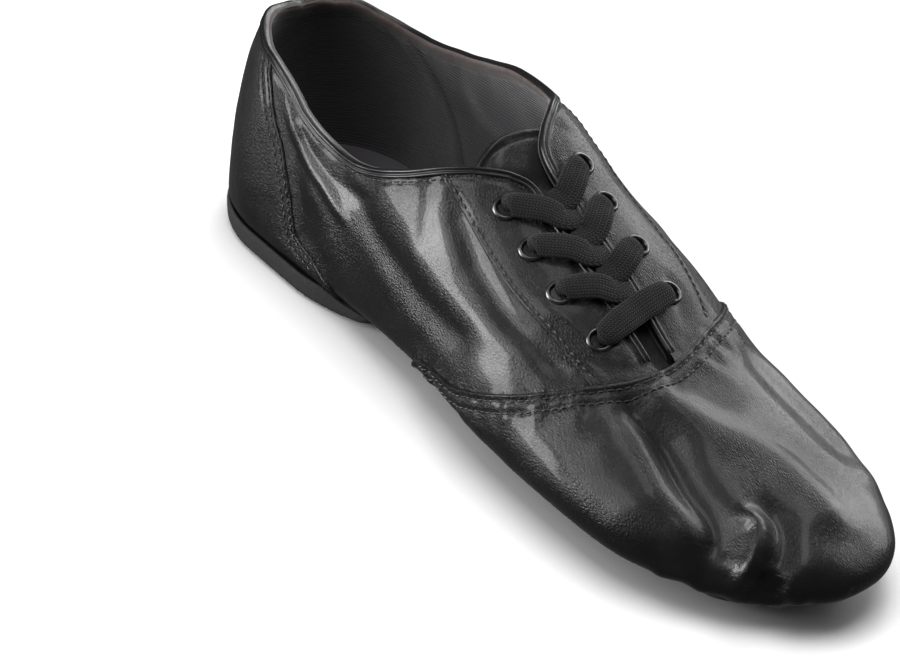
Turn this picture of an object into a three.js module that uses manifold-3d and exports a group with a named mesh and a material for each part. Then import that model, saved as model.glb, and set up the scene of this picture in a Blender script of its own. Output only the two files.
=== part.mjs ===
// A soft lace-up jazz shoe for the right foot, standing empty on its split sole.
// Millimetres. X runs from the heel to the toe, Y to the wearer's left, Z up from the floor.
// The lateral side (outer side of the foot) is -Y and the medial side is +Y.

import * as THREE from 'three';
import Module from 'manifold-3d';
import { mergeVertices } from 'three/addons/utils/BufferGeometryUtils.js';

const wasm = await Module();
wasm.setup();

// Driving sizes of the last
const LENGTH = 252;
const BALL_WIDTH = 80;
const INSTEP_HEIGHT = 75;
const HEEL_ROUNDING = 32;
const HEEL_LEAN = 14;
const TOE_ROUNDING = 62;
const TOE_DROP = 42;
const ARCH_LIFT = 2.3;
const TOE_SPRING = 1.8;

// Driving sizes of the pieces
const CLEARANCE = 0.3;
const WALL = 1.6;
const VAMP_STEP = 0.8;
const HEEL_SOLE_THICKNESS = 5.1;
const HEEL_SOLE_LENGTH = 86;
const HEEL_SOLE_LIP = 1.2;
const HEEL_SOLE_MARGIN = 1;
const HEEL_SOLE_TAPER = 22;
const HEEL_SOLE_NOSE = 0.9;
const PAD_THICKNESS = 2.5;
const PAD_CROWN = 0.5;
const BALL_PAD = { along: 0.73, across: 0.01, length: 0.286 * LENGTH, width: 0.79 * BALL_WIDTH };
const TOE_PAD = {
  along: 0.915,
  across: 0.055,
  length: 0.06 * LENGTH,
  width: 0.575 * BALL_WIDTH,
  bow: 0.1 * BALL_WIDTH,
};
const WINDOW_MARGIN = 9;
const TOE_WINDOW_MARGIN = 4;
const COUNTER_THICKNESS = 1;
const COUNTER_TOP = 0.747 * INSTEP_HEIGHT;
const EYESTAY_THICKNESS = 0.8;
const TONGUE_THICKNESS = 1.8;
const TONGUE_WIDTH = 42;
const TONGUE_ROUNDING = 12;
const TONGUE_LOWEST = 0.35 * INSTEP_HEIGHT;
const TONGUE_BACK = 0.41;
const TONGUE_FRONT = 0.71;
const INSOLE_THICKNESS = 2.5;
const EYELET = { flangeRadius: 3.7, flangeThickness: 0.5, barrelRadius: 2.6, holeRadius: 2 };
const LACE_WIDTH = 0.032 * LENGTH;
const LACE_THICKNESS = 1.2;
const FRONT_ROUNDING = 9;
const HEEL_MIDDLE = 40;

// How finely the last, its edges and the eyelets are divided
const STATIONS = 32;
const AROUND = 26;
const EYELET_SIDES = 10;
const COLLAR_STEPS = 76;
const VAMP_STEPS = 50;
const EYESTAY_STEPS = 34;
const FULL_TURN = 360;

// Sections of the last. along is a share of LENGTH; near (lateral), far (medial) and centre are shares
// of BALL_WIDTH; seat blends from the forefoot's seat (0) to the heel's (1); arch and spring are shares
// of ARCH_LIFT and TOE_SPRING; widest and top are shares of INSTEP_HEIGHT above the seat; the last
// three are the powers of the superellipse in the top near, top far and under quarters.
// along, near, far, centre, seat, arch, spring, widest, top, powerNear, powerFar, powerUnder
const SECTIONS = [
  [0.00, 0.375, 0.363, 0.000, 1.00, 0.00, 0.00, 0.155, 0.888, 2.5, 2.6, 6.0],
  [0.12, 0.375, 0.388, 0.000, 1.00, 0.00, 0.00, 0.155, 0.941, 2.5, 2.7, 6.0],
  [0.25, 0.375, 0.406, 0.000, 1.00, 0.00, 0.00, 0.168, 0.995, 2.4, 2.8, 5.5],
  [0.38, 0.400, 0.438, 0.000, 0.75, 0.76, 0.00, 0.200, 0.954, 2.2, 3.0, 4.2],
  [0.50, 0.444, 0.475, 0.000, 0.50, 1.00, 0.00, 0.207, 0.773, 2.0, 2.9, 3.3],
  [0.60, 0.481, 0.500, 0.000, 0.25, 0.37, 0.00, 0.199, 0.646, 1.9, 2.7, 2.9],
  [0.70, 0.485, 0.504, 0.000, 0.05, 0.00, 0.00, 0.191, 0.480, 1.9, 2.4, 2.7],
  [0.80, 0.478, 0.509, 0.013, 0.00, 0.00, 0.00, 0.165, 0.361, 2.1, 2.2, 2.8],
  [0.90, 0.403, 0.490, 0.038, 0.00, 0.00, 0.20, 0.152, 0.295, 2.2, 2.1, 2.8],
  [1.00, 0.265, 0.478, 0.063, 0.00, 0.00, 1.00, 0.145, 0.261, 2.2, 2.0, 2.7],
];

// Edge of the collar and throat as one loop, from the back of the heel along the lateral side, down the
// throat and back along the medial side. around is in degrees from the top of the section, negative on
// the lateral side; aim is where the cut through the wall starts, as a share of the edge's own height.
// along, around, aim
const COLLAR_EDGE = [
  [0.0175, 0.0, 0.95],
  [0.0250, -29.0, 0.95],
  [0.0450, -40.0, 0.95],
  [0.0800, -44.5, 0.95],
  [0.1160, -44.5, 0.95],
  [0.1480, -50.0, 0.9],
  [0.1870, -55.5, 0.9],
  [0.2400, -59.0, 0.85],
  [0.2890, -58.0, 0.8],
  [0.3280, -54.0, 0.75],
  [0.3710, -46.0, 0.7],
  [0.4050, -36.0, 0.6],
  [0.4340, -24.0, 0.5],
  [0.4580, -12.5, 0.4],
  [0.4780, -6.5, 0.4],
  [0.5400, -6.0, 0.4],
  [0.6200, -6.0, 0.4],
  [0.6750, -5.0, 0.4],
  [0.6900, 0.0, 0.4],
  [0.6750, 5.0, 0.4],
  [0.6200, 5.5, 0.4],
  [0.5400, 5.5, 0.4],
  [0.4700, 5.0, 0.4],
  [0.4450, 7.0, 0.4],
  [0.4230, 14.0, 0.5],
  [0.4000, 24.0, 0.6],
  [0.3720, 34.5, 0.7],
  [0.3380, 39.0, 0.75],
  [0.2910, 43.0, 0.8],
  [0.2220, 49.5, 0.85],
  [0.1640, 52.0, 0.9],
  [0.1130, 53.0, 0.95],
  [0.0770, 51.0, 0.95],
  [0.0480, 47.0, 0.95],
  [0.0280, 39.0, 0.95],
];

// Upper edge of the vamp, from under the arch on the lateral side over the instep to the medial side
// along, around
const VAMP_EDGE = [
  [0.440, -178.0],
  [0.442, -150.0],
  [0.447, -120.0],
  [0.465, -104.0],
  [0.505, -95.0],
  [0.550, -87.0],
  [0.594, -77.0],
  [0.633, -64.0],
  [0.660, -50.0],
  [0.680, -36.0],
  [0.695, -23.0],
  [0.702, -12.0],
  [0.703, 0.0],
  [0.694, 12.0],
  [0.676, 26.0],
  [0.655, 41.0],
  [0.625, 57.0],
  [0.590, 70.0],
  [0.550, 82.0],
  [0.505, 94.0],
  [0.465, 104.0],
  [0.447, 120.0],
  [0.442, 150.0],
  [0.440, 182.0],
];

// Outlines of the two eyestays, from the back of the seam round the facing
// along, around
const EYESTAY_LATERAL = [
  [0.402, -40.0],
  [0.475, -40.0],
  [0.544, -40.0],
  [0.600, -37.5],
  [0.655, -35.0],
  [0.672, -31.0],
  [0.684, -20.0],
  [0.688, -10.0],
  [0.668, -8.0],
  [0.580, -8.5],
  [0.490, -8.5],
  [0.468, -12.5],
  [0.444, -24.0],
  [0.416, -35.0],
];
const EYESTAY_MEDIAL = [
  [0.377, 40.0],
  [0.404, 27.0],
  [0.432, 14.5],
  [0.453, 9.0],
  [0.480, 7.5],
  [0.580, 8.0],
  [0.668, 8.0],
  [0.684, 12.0],
  [0.672, 22.0],
  [0.652, 34.0],
  [0.600, 38.0],
  [0.540, 38.5],
  [0.460, 39.5],
];

// Front edge of the heel counter in side view: along is a share of LENGTH, up a share of INSTEP_HEIGHT
const COUNTER_EDGE = [
  [0.090, 0.860],
  [0.104, 0.776],
  [0.121, 0.700],
  [0.141, 0.613],
  [0.163, 0.541],
  [0.178, 0.457],
  [0.192, 0.388],
  [0.205, 0.252],
  [0.219, 0.172],
  [0.245, 0.060],
];

// Eyelets from the top of the throat down: along, around
const EYELETS_LATERAL = [
  [0.481, -23.0],
  [0.533, -23.0],
  [0.589, -23.5],
  [0.651, -20.0],
];
const EYELETS_MEDIAL = [
  [0.470, 20.0],
  [0.518, 19.0],
  [0.576, 18.5],
  [0.632, 20.0],
];

// Where each run of lace comes up out of the throat, from the top pair of eyelets down
const LACE_STARTS_LATERAL = [0.522, 0.570, 0.614];
const LACE_STARTS_MEDIAL = [0.500, 0.548, 0.594];

const HEEL_SEAT = HEEL_SOLE_THICKNESS + CLEARANCE;
const BALL_SEAT = PAD_THICKNESS + CLEARANCE + VAMP_STEP;
const EYESTAY_TOP = CLEARANCE + EYESTAY_THICKNESS;
const FLANGE_TOP = EYESTAY_TOP + CLEARANCE + EYELET.flangeThickness;
const INSIDE = WALL + CLEARANCE;

// A monotone cubic through the rows of a table, read at one place along it
function readTable(rows, along) {
  const last = rows.length - 1;
  let i = 0;
  while (i < last - 1 && along > rows[i + 1][0]) {
    i += 1;
  }
  const width = (k) => rows[k + 1][0] - rows[k][0];
  const rise = (k, c) => (rows[k + 1][c] - rows[k][c]) / width(k);
  const slope = (k, c) => {
    if (k === 0) return rise(0, c);
    if (k === last) return rise(last - 1, c);
    const before = rise(k - 1, c);
    const after = rise(k, c);
    return before * after > 0 ? (2 * before * after) / (before + after) : 0;
  };
  const h = width(i);
  const t = THREE.MathUtils.clamp((along - rows[i][0]) / h, 0, 1);
  return rows[i].slice(1).map((value, k) => {
    const c = k + 1;
    const next = rows[i + 1][c];
    const a = slope(i, c) * h;
    const b = slope(i + 1, c) * h;
    const ease = t * t * (3 - 2 * t);
    return value + (next - value) * ease + a * t * (1 - t) ** 2 - b * t * t * (1 - t);
  });
}

// How far a rounded end has opened out at a distance from its tip, from 0 to 1
function roundedEnd(distance, radius, power) {
  const t = THREE.MathUtils.clamp(1 - distance / radius, 0, 1);
  return (1 - t ** power) ** (1 / power);
}

// One section of the last, grown outwards by rise
function sectionAt(x, rise = 0) {
  const [near, far, centre, seat, arch, spring, widest, top, powerNear, powerFar, powerUnder] =
    readTable(SECTIONS, x / LENGTH);
  const fromHeel = x + rise;
  const fromToe = LENGTH + rise - x;
  const plan = roundedEnd(fromHeel, HEEL_ROUNDING + rise, 2.15) * roundedEnd(fromToe, TOE_ROUNDING + rise, 2.3);
  const side = roundedEnd(fromHeel, HEEL_LEAN + rise, 2.3) * roundedEnd(fromToe, TOE_DROP + rise, 2.4);
  const floor = BALL_SEAT + (HEEL_SEAT - BALL_SEAT) * seat;
  const middle = floor + widest * INSTEP_HEIGHT;
  return {
    near: (near * BALL_WIDTH + rise) * plan,
    far: (far * BALL_WIDTH + rise) * plan,
    centre: centre * BALL_WIDTH,
    middle,
    above: ((top - widest) * INSTEP_HEIGHT + rise) * side,
    below: (widest * INSTEP_HEIGHT - arch * ARCH_LIFT - spring * TOE_SPRING + rise) * side,
    powerNear,
    powerFar,
    powerUnder,
  };
}

// A point of the last's skin, grown outwards by rise; around is in degrees from the top, + medial
function skin(x, around, rise = 0) {
  const s = sectionAt(x, rise);
  const turn = THREE.MathUtils.degToRad(around);
  const across = Math.sin(turn);
  const up = Math.cos(turn);
  const half = across < 0 ? s.near : s.far;
  const height = up > 0 ? s.above : s.below;
  let power = s.powerUnder;
  if (up > 0) {
    power = across < 0 ? s.powerNear : s.powerFar;
  }
  const reach = (Math.abs(across) ** power + Math.abs(up) ** power) ** (-1 / power);
  return new THREE.Vector3(x, s.centre + half * reach * across, s.middle + height * reach * up);
}

function skinNormal(x, around, rise = 0) {
  const step = 0.5;
  const alongStep = skin(x + step, around, rise).sub(skin(x - step, around, rise));
  const aroundStep = skin(x, around + step, rise).sub(skin(x, around - step, rise));
  return alongStep.cross(aroundStep).normalize();
}

// A solid from a three.js geometry
function solidOf(geometry) {
  const bare = geometry.clone();
  bare.deleteAttribute('normal');
  bare.deleteAttribute('uv');
  const merged = mergeVertices(bare, 1e-4);
  return new wasm.Manifold(new wasm.Mesh({
    numProp: 3,
    vertProperties: new Float32Array(merged.attributes.position.array),
    triVerts: new Uint32Array(merged.index.array),
  }));
}

// A solid from rings of points, each closed on itself, with a point at either end
function solidOfRings(start, rings, end) {
  const count = rings[0].length;
  const points = [start, ...rings.flat(), end];
  const triangles = [];
  const at = (ring, k) => 1 + ring * count + (k % count);
  for (let k = 0; k < count; k += 1) {
    triangles.push(0, at(0, k + 1), at(0, k));
    triangles.push(points.length - 1, at(rings.length - 1, k), at(rings.length - 1, k + 1));
    for (let ring = 0; ring < rings.length - 1; ring += 1) {
      triangles.push(at(ring, k), at(ring, k + 1), at(ring + 1, k + 1));
      triangles.push(at(ring, k), at(ring + 1, k + 1), at(ring + 1, k));
    }
  }
  const solid = new wasm.Manifold(new wasm.Mesh({
    numProp: 3,
    vertProperties: new Float32Array(points.flatMap((p) => p.toArray())),
    triVerts: new Uint32Array(triangles),
  }));
  return solid.volume() < 0 ? solidOfRings(end, rings.slice().reverse(), start) : solid;
}

// The whole last as one solid, grown outwards by rise
function lastForm(rise = 0) {
  const total = LENGTH + 2 * rise;
  const rings = [];
  for (let i = 1; i < STATIONS; i += 1) {
    const x = -rise + total * (1 - Math.cos((Math.PI * i) / STATIONS)) / 2;
    const ring = [];
    for (let k = 0; k < AROUND; k += 1) {
      ring.push(skin(x, (FULL_TURN * k) / AROUND, rise));
    }
    rings.push(ring);
  }
  const tip = (x) => new THREE.Vector3(x, sectionAt(x).centre, sectionAt(x).middle);
  return solidOfRings(tip(-rise), rings, tip(LENGTH + rise));
}

// A flat outline of [across, up] pairs, pushed from low to high along the third direction
function prism(outline, low, high) {
  const shape = new THREE.Shape(outline.map(([u, v]) => new THREE.Vector2(u, v)));
  const geometry = new THREE.ExtrudeGeometry(shape, { depth: high - low, bevelEnabled: false });
  geometry.translate(0, 0, low);
  return geometry;
}

const planPrism = (outline, low, high) => solidOf(prism(outline, low, high));
const sidePrism = (outline, low, high) => solidOf(prism(outline, low, high).rotateX(Math.PI / 2));

// A smooth run through the rows of a loop; a loop that goes right round the last is left open
function smoothLoop(rows, steps, closed = true) {
  const curve = new THREE.CatmullRomCurve3(
    rows.map(([along, around, aim = 0]) => new THREE.Vector3(along * LENGTH, around, aim)),
    closed,
    'centripetal',
  );
  return curve.getPoints(steps).slice(0, steps);
}

const middleOf = (points) => (
  points.reduce((sum, p) => sum.add(p), new THREE.Vector3()).divideScalar(points.length)
);

// A solid that stands through the wall along a closed loop. Its side runs along rays from the last's
// middle line through the loop, and it reaches from inside the last to outside it, or up to raise.
function curtain(loop, { inner, outer, spineStart = 0, raise = 0 }) {
  const rays = loop.map(({ x, y: around, z: aim }) => {
    const edge = skin(x, around);
    const start = new THREE.Vector3(Math.max(x, spineStart), 0, edge.z * aim);
    return { start, edge };
  });
  const ringAt = (share) => rays.map(({ start, edge }) => start.clone().lerp(edge, share));
  const rings = [ringAt(inner), ringAt(outer)];
  if (raise > 0) {
    rings.push(rings[1].map((p) => new THREE.Vector3(p.x, p.y, raise)));
  }
  return solidOfRings(middleOf(rings[0]), rings, middleOf(rings[rings.length - 1]));
}

// Everything in front of a loop that goes right round the last
function aheadOf(loop, apex) {
  const spread = 1.5;
  const beyond = LENGTH * 1.2;
  const ring = loop.map(({ x, y: around }) => apex.clone().lerp(skin(x, around), spread));
  const front = ring.map((p) => new THREE.Vector3(beyond, p.y, p.z));
  return solidOfRings(apex, [ring, front], middleOf(front));
}

// A flat outline with its corners rounded by sampling a smooth curve through them
function ovalOutline({ along, across, length, width }, grow = 0, steps = 40) {
  const outline = [];
  for (let k = 0; k < steps; k += 1) {
    const turn = (2 * Math.PI * k) / steps;
    outline.push([
      along * LENGTH + (length / 2 + grow) * Math.cos(turn),
      across * BALL_WIDTH + (width / 2 + grow) * Math.sin(turn),
    ]);
  }
  return outline;
}

// A crescent that bows towards the toe
function crescentOutline({ along, across, length, width, bow }, grow = 0, steps = 12) {
  const front = [];
  const back = [];
  for (let k = 0; k <= steps; k += 1) {
    const turn = Math.PI * (k / steps - 0.5);
    const side = Math.sin(turn);
    const fullness = Math.cos(turn) ** 0.6;
    const x = along * LENGTH - bow * side * side;
    const y = across * BALL_WIDTH + (width / 2 + grow) * side;
    front.push([x + (length / 2 + grow) * fullness, y]);
    if (k > 0 && k < steps) {
      back.unshift([x - (length / 2 + grow) * fullness, y]);
    }
  }
  return [...front, ...back];
}

// The heel sole in plan: it follows the last's widest line, then draws in to a rounded front
function heelOutline(grow = 0, steps = 12) {
  const halfAt = (x, side) => {
    const drawnIn = THREE.MathUtils.smoothstep(x, HEEL_SOLE_LENGTH - HEEL_SOLE_TAPER * 1.5, HEEL_SOLE_LENGTH);
    return Math.max(sectionAt(x)[side] * (1 - 0.2 * drawnIn) + grow, 1);
  };
  const lateral = [];
  const medial = [];
  for (let k = 1; k <= steps; k += 1) {
    const t = 1 - Math.cos((Math.PI / 2) * (k / steps));
    const x = -grow + (HEEL_SOLE_LENGTH - FRONT_ROUNDING + 2 * grow) * t;
    const inner = Math.max(x + grow, 0.01);
    lateral.push([x, -halfAt(inner, 'near')]);
    medial.unshift([x, halfAt(inner, 'far')]);
  }
  const corner = [];
  const [cornerX, cornerY] = lateral[steps - 1];
  for (let k = 1; k <= 4; k += 1) {
    const turn = (Math.PI / 2) * (k / 4);
    corner.push([cornerX + FRONT_ROUNDING * Math.sin(turn), cornerY + FRONT_ROUNDING * (1 - Math.cos(turn))]);
  }
  const farCorner = corner.map(([x, y]) => [x, -y * (medial[0][1] / -cornerY)]).reverse();
  return [[-grow, 0], ...lateral, ...corner, ...farCorner, ...medial];
}

const AROUND_APEX = new THREE.Vector3(0.58 * LENGTH, 0, 0.32 * INSTEP_HEIGHT);
const vampSide = aheadOf(smoothLoop(VAMP_EDGE, VAMP_STEPS, false), AROUND_APEX);
const collarCutter = curtain(smoothLoop(COLLAR_EDGE, COLLAR_STEPS), {
  inner: 0.5,
  outer: 1.6,
  spineStart: 0.12 * LENGTH,
  raise: 2 * INSTEP_HEIGHT,
});

const quarterForm = lastForm(0);
const vampForm = lastForm(VAMP_STEP);

function eyeletPlace([along, around], rise) {
  const x = along * LENGTH;
  const axis = skinNormal(x, around);
  const place = skin(x, around).addScaledVector(axis, rise);
  const turn = new THREE.Quaternion().setFromUnitVectors(new THREE.Vector3(0, 1, 0), axis);
  return new THREE.Matrix4().compose(place, turn, new THREE.Vector3(1, 1, 1));
}

function eyeletHole(row) {
  const reach = 10;
  const hole = new THREE.CylinderGeometry(
    EYELET.barrelRadius + CLEARANCE,
    EYELET.barrelRadius + CLEARANCE,
    reach,
    EYELET_SIDES,
  );
  return solidOf(hole.applyMatrix4(eyeletPlace(row, 0)));
}

const eyeletHoles = wasm.Manifold.union([...EYELETS_LATERAL, ...EYELETS_MEDIAL].map(eyeletHole));

// Upper: two quarters and a vamp that steps out over them, one wall all round, open at the collar and
// throat, and underneath inside the edges of the heel sole and the two forefoot pads
function upper() {
  const outside = quarterForm.add(vampForm.intersect(vampSide));
  const windowTop = HEEL_SEAT + 3 * WALL;
  const windows = [
    heelOutline(-WINDOW_MARGIN),
    ovalOutline(BALL_PAD, -WINDOW_MARGIN),
    crescentOutline(TOE_PAD, -TOE_WINDOW_MARGIN),
  ].map((outline) => planPrism(outline, -1, windowTop));
  return outside
    .subtract(lastForm(-WALL))
    .subtract(collarCutter)
    .subtract(eyeletHoles)
    .subtract(wasm.Manifold.union(windows));
}

// An overlay on the quarters, a thin layer of a larger form
function overlay(thickness, region) {
  return lastForm(CLEARANCE + thickness).subtract(lastForm(CLEARANCE)).intersect(region);
}

function heelCounter() {
  const soleTop = HEEL_SEAT + HEEL_SOLE_LIP + CLEARANCE;
  const front = COUNTER_EDGE.map(([along, up]) => [along * LENGTH, HEEL_SEAT + up * INSTEP_HEIGHT]);
  const lowest = front[front.length - 1];
  const behind = -HEEL_LEAN;
  const above = 2 * INSTEP_HEIGHT;
  const outline = [[behind, soleTop], [behind, above], [front[0][0], above], ...front, [lowest[0], soleTop]];
  const heel = [[behind, -BALL_WIDTH], [LENGTH, -BALL_WIDTH], [LENGTH, BALL_WIDTH], [behind, BALL_WIDTH]];
  return overlay(COUNTER_THICKNESS, sidePrism(outline, -BALL_WIDTH, BALL_WIDTH))
    .intersect(planPrism(heel, 0, COUNTER_TOP));
}

function eyestay(rows) {
  const region = curtain(smoothLoop(rows, EYESTAY_STEPS), { inner: 0.8, outer: 1.2 });
  return overlay(EYESTAY_THICKNESS, region).subtract(eyeletHoles);
}

function tongue() {
  const back = TONGUE_BACK * LENGTH;
  const front = TONGUE_FRONT * LENGTH;
  const side = TONGUE_WIDTH / 2;
  const outline = [[front, -side], [front, side]];
  for (let k = 0; k <= 8; k += 1) {
    const turn = Math.PI * (k / 8);
    outline.push([back + TONGUE_ROUNDING * (1 - Math.sin(turn)), side * Math.cos(turn)]);
  }
  return lastForm(-INSIDE)
    .subtract(lastForm(-INSIDE - TONGUE_THICKNESS))
    .intersect(planPrism(outline, TONGUE_LOWEST, 2 * INSTEP_HEIGHT));
}

// Insole: lies in the bottom of the upper, with a flat top that follows the arch
function insole() {
  const steps = 24;
  const top = [];
  for (let k = 0; k <= steps; k += 1) {
    const x = LENGTH * (k / steps);
    const s = sectionAt(THREE.MathUtils.clamp(x, HEEL_LEAN, LENGTH - TOE_DROP));
    top.push([x, s.middle - s.below + INSIDE + INSOLE_THICKNESS]);
  }
  const outline = [[-5, -5], [LENGTH + 5, -5], [LENGTH + 5, top[steps][1]], ...top.reverse()];
  outline.push([-5, top[steps][1]]);
  return lastForm(-INSIDE).intersect(sidePrism(outline, -BALL_WIDTH, BALL_WIDTH));
}

// Heel sole: a flat moulded piece with a low lip, thinning to its front edge under the arch
function heelSole() {
  const lip = HEEL_SEAT + HEEL_SOLE_LIP;
  const block = planPrism(heelOutline(HEEL_SOLE_MARGIN), 0, lip);
  const start = HEEL_SOLE_LENGTH - HEEL_SOLE_TAPER;
  const steps = 6;
  const past = steps - 1;
  const under = [];
  for (let k = steps; k >= 0; k -= 1) {
    const rise = (HEEL_SOLE_THICKNESS - HEEL_SOLE_NOSE) * (k / past) ** 2;
    under.push([start + HEEL_SOLE_TAPER * (k / past), rise]);
  }
  const [end] = under[0];
  const ramp = [[start, -HEEL_SEAT], [end, -HEEL_SEAT], ...under];
  const seat = HEEL_SEAT - CLEARANCE;
  const overArch = [[start, seat], [LENGTH, seat], [LENGTH, INSTEP_HEIGHT], [start + HEEL_SOLE_TAPER / 2, INSTEP_HEIGHT]];
  return block
    .subtract(lastForm(CLEARANCE))
    .subtract(sidePrism(ramp, -BALL_WIDTH, BALL_WIDTH))
    .subtract(sidePrism(overArch, -BALL_WIDTH, BALL_WIDTH));
}

// Suede pads under the forefoot: thin layers that follow the vamp, pressed flat where they stand
function pad(outline) {
  const layer = VAMP_STEP + CLEARANCE;
  const aboveFloor = planPrism(outline, 0, HEEL_SEAT * 3);
  return lastForm(layer + PAD_THICKNESS + PAD_CROWN).subtract(lastForm(layer)).intersect(aboveFloor);
}

function eyelet() {
  const { flangeRadius, flangeThickness, barrelRadius, holeRadius } = EYELET;
  const under = EYESTAY_TOP + CLEARANCE;
  const profile = [
    [holeRadius, -WALL],
    [barrelRadius, -WALL],
    [barrelRadius, under],
    [flangeRadius, under],
    [flangeRadius - 0.3 * flangeThickness, under + 0.8 * flangeThickness],
    [holeRadius + 0.6 * flangeThickness, under + flangeThickness],
    [holeRadius, -WALL],
  ].map(([r, h]) => new THREE.Vector2(r, h));
  return new THREE.LatheGeometry(profile, EYELET_SIDES);
}

// One run of flat lace over the last, through rows of along, around and height above the skin
function ribbon(rows) {
  const path = new THREE.CatmullRomCurve3(
    rows.map(([along, around, height]) => new THREE.Vector3(along * LENGTH, around, height)),
    false,
    'centripetal',
  );
  const steps = 8;
  const centres = path.getPoints(steps).map(({ x, y: around, z: height }) => {
    const normal = skinNormal(x, around);
    return { normal, place: skin(x, around).addScaledVector(normal, height) };
  });
  const rings = centres.map(({ normal, place }, k) => {
    const before = centres[Math.max(k - 1, 0)].place;
    const after = centres[Math.min(k + 1, steps)].place;
    const forward = after.clone().sub(before).normalize();
    const side = forward.clone().cross(normal).normalize().multiplyScalar(LACE_WIDTH / 2);
    const lift = side.clone().cross(forward).normalize().multiplyScalar(LACE_THICKNESS / 2);
    return [[1, 1], [-1, 1], [-1, -1], [1, -1]].map(([u, v]) => (
      place.clone().addScaledVector(side, u).addScaledVector(lift, v)
    ));
  });
  return solidOfRings(centres[0].place, rings, centres[steps].place);
}

// Lace: a bar across the lowest eyelets, and runs that come up out of the throat and go out over the
// eyestays to the eyelets above, lateral and medial in turn, each tucked under the one below
function lace() {
  const overStay = EYESTAY_TOP + CLEARANCE + LACE_THICKNESS / 2 + 0.2;
  const overFlange = FLANGE_TOP + CLEARANCE + LACE_THICKNESS / 2 + 0.1;
  const inThroat = 0.9;
  const run = (start, [along, around]) => {
    const side = Math.sign(around);
    return ribbon([
      [start, -side * 3, inThroat],
      [start, side * 3, inThroat + 0.5],
      [start + (along - start) * 0.35, side * 9, overStay + 0.3],
      [start + (along - start) * 0.75, around * 0.75, overFlange],
      [along, around, overFlange],
    ]);
  };
  const [lateralEnd, medialEnd] = [EYELETS_LATERAL[3], EYELETS_MEDIAL[3]];
  const bar = ribbon([
    [...lateralEnd, overFlange],
    [lateralEnd[0] * 0.75 + medialEnd[0] * 0.25, -9, overStay + 0.3],
    [(lateralEnd[0] + medialEnd[0]) / 2, 0, overStay],
    [lateralEnd[0] * 0.25 + medialEnd[0] * 0.75, 9, overStay + 0.3],
    [...medialEnd, overFlange],
  ]);
  const runs = [
    ...LACE_STARTS_LATERAL.map((start, k) => run(start, EYELETS_LATERAL[k])),
    ...LACE_STARTS_MEDIAL.map((start, k) => run(start, EYELETS_MEDIAL[k])),
  ];
  return wasm.Manifold.union([bar, ...runs]);
}

// Materials
const material = (color, roughness, metalness = 0) => new THREE.MeshStandardMaterial({ color, roughness, metalness });
const leather = () => material(0x0d0d0f, 0.32);
const lining = () => material(0x2b2a2f, 0.9);
const suede = () => material(0x1c1c1e, 0.95);
const metal = () => material(0x2a2a2c, 0.35, 0.9);
const webbing = () => material(0x101012, 0.85);

const shoe = new THREE.Group();

function addGeometry(name, geometry, finish) {
  const piece = new THREE.Mesh(geometry, finish);
  piece.name = name;
  shoe.add(piece);
  return piece;
}

function addSolid(name, solid, finish) {
  const { numProp, vertProperties, triVerts } = solid.getMesh();
  const geometry = new THREE.BufferGeometry();
  const positions = new Float32Array((vertProperties.length / numProp) * 3);
  for (let k = 0; k < positions.length; k += 1) {
    positions[k] = vertProperties[Math.floor(k / 3) * numProp + (k % 3)];
  }
  geometry.setAttribute('position', new THREE.BufferAttribute(positions, 3));
  geometry.setIndex([...triVerts]);
  geometry.computeVertexNormals();
  return addGeometry(name, geometry, finish);
}

addSolid('upper', upper(), leather());
addSolid('heel_counter', heelCounter(), leather());
addSolid('eyestay_lateral', eyestay(EYESTAY_LATERAL), leather());
addSolid('eyestay_medial', eyestay(EYESTAY_MEDIAL), leather());
addSolid('tongue', tongue(), leather());
addSolid('insole', insole(), lining());
addSolid('heel_sole', heelSole(), suede());
addSolid('ball_pad', pad(ovalOutline(BALL_PAD)), suede());
addSolid('toe_pad', pad(crescentOutline(TOE_PAD)), suede());
addSolid('lace', lace(), webbing());

for (const [side, rows] of [['lateral', EYELETS_LATERAL], ['medial', EYELETS_MEDIAL]]) {
  rows.forEach((row, k) => {
    const piece = addGeometry(`eyelet_${side}_${k + 1}`, eyelet(), metal());
    piece.applyMatrix4(eyeletPlace(row, 0));
  });
}

// The origin is on the floor under the middle of the heel
shoe.position.x = -HEEL_MIDDLE;

export default shoe;
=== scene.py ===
"""Looks of a soft black jazz shoe for the right foot, dressed over its solids.

Lengths are in millimetres until a mesh is made. X runs from the heel to the toe, the lateral side is -Y
and Z is up. A place on the last is written as (along, around): a share of its length, and degrees from
the top of the section, negative on the lateral side.
"""

import math
from types import SimpleNamespace

import bmesh
import bpy
import numpy as np
from mathutils import Matrix, Vector


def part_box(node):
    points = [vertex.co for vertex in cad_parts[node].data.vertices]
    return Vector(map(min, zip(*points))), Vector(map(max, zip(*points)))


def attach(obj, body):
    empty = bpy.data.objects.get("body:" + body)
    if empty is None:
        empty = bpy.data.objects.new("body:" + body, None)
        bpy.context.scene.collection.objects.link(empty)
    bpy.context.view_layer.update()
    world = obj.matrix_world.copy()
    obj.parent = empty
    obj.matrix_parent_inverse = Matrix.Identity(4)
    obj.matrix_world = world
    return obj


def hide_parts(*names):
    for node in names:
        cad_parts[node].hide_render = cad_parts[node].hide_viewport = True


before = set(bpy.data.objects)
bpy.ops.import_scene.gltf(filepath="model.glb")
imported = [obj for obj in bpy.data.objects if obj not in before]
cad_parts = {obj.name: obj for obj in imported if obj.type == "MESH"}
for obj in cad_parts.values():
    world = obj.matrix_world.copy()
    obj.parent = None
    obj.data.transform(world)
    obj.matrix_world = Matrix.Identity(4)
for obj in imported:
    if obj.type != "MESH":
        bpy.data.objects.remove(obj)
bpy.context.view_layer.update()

MM = 0.001

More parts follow.
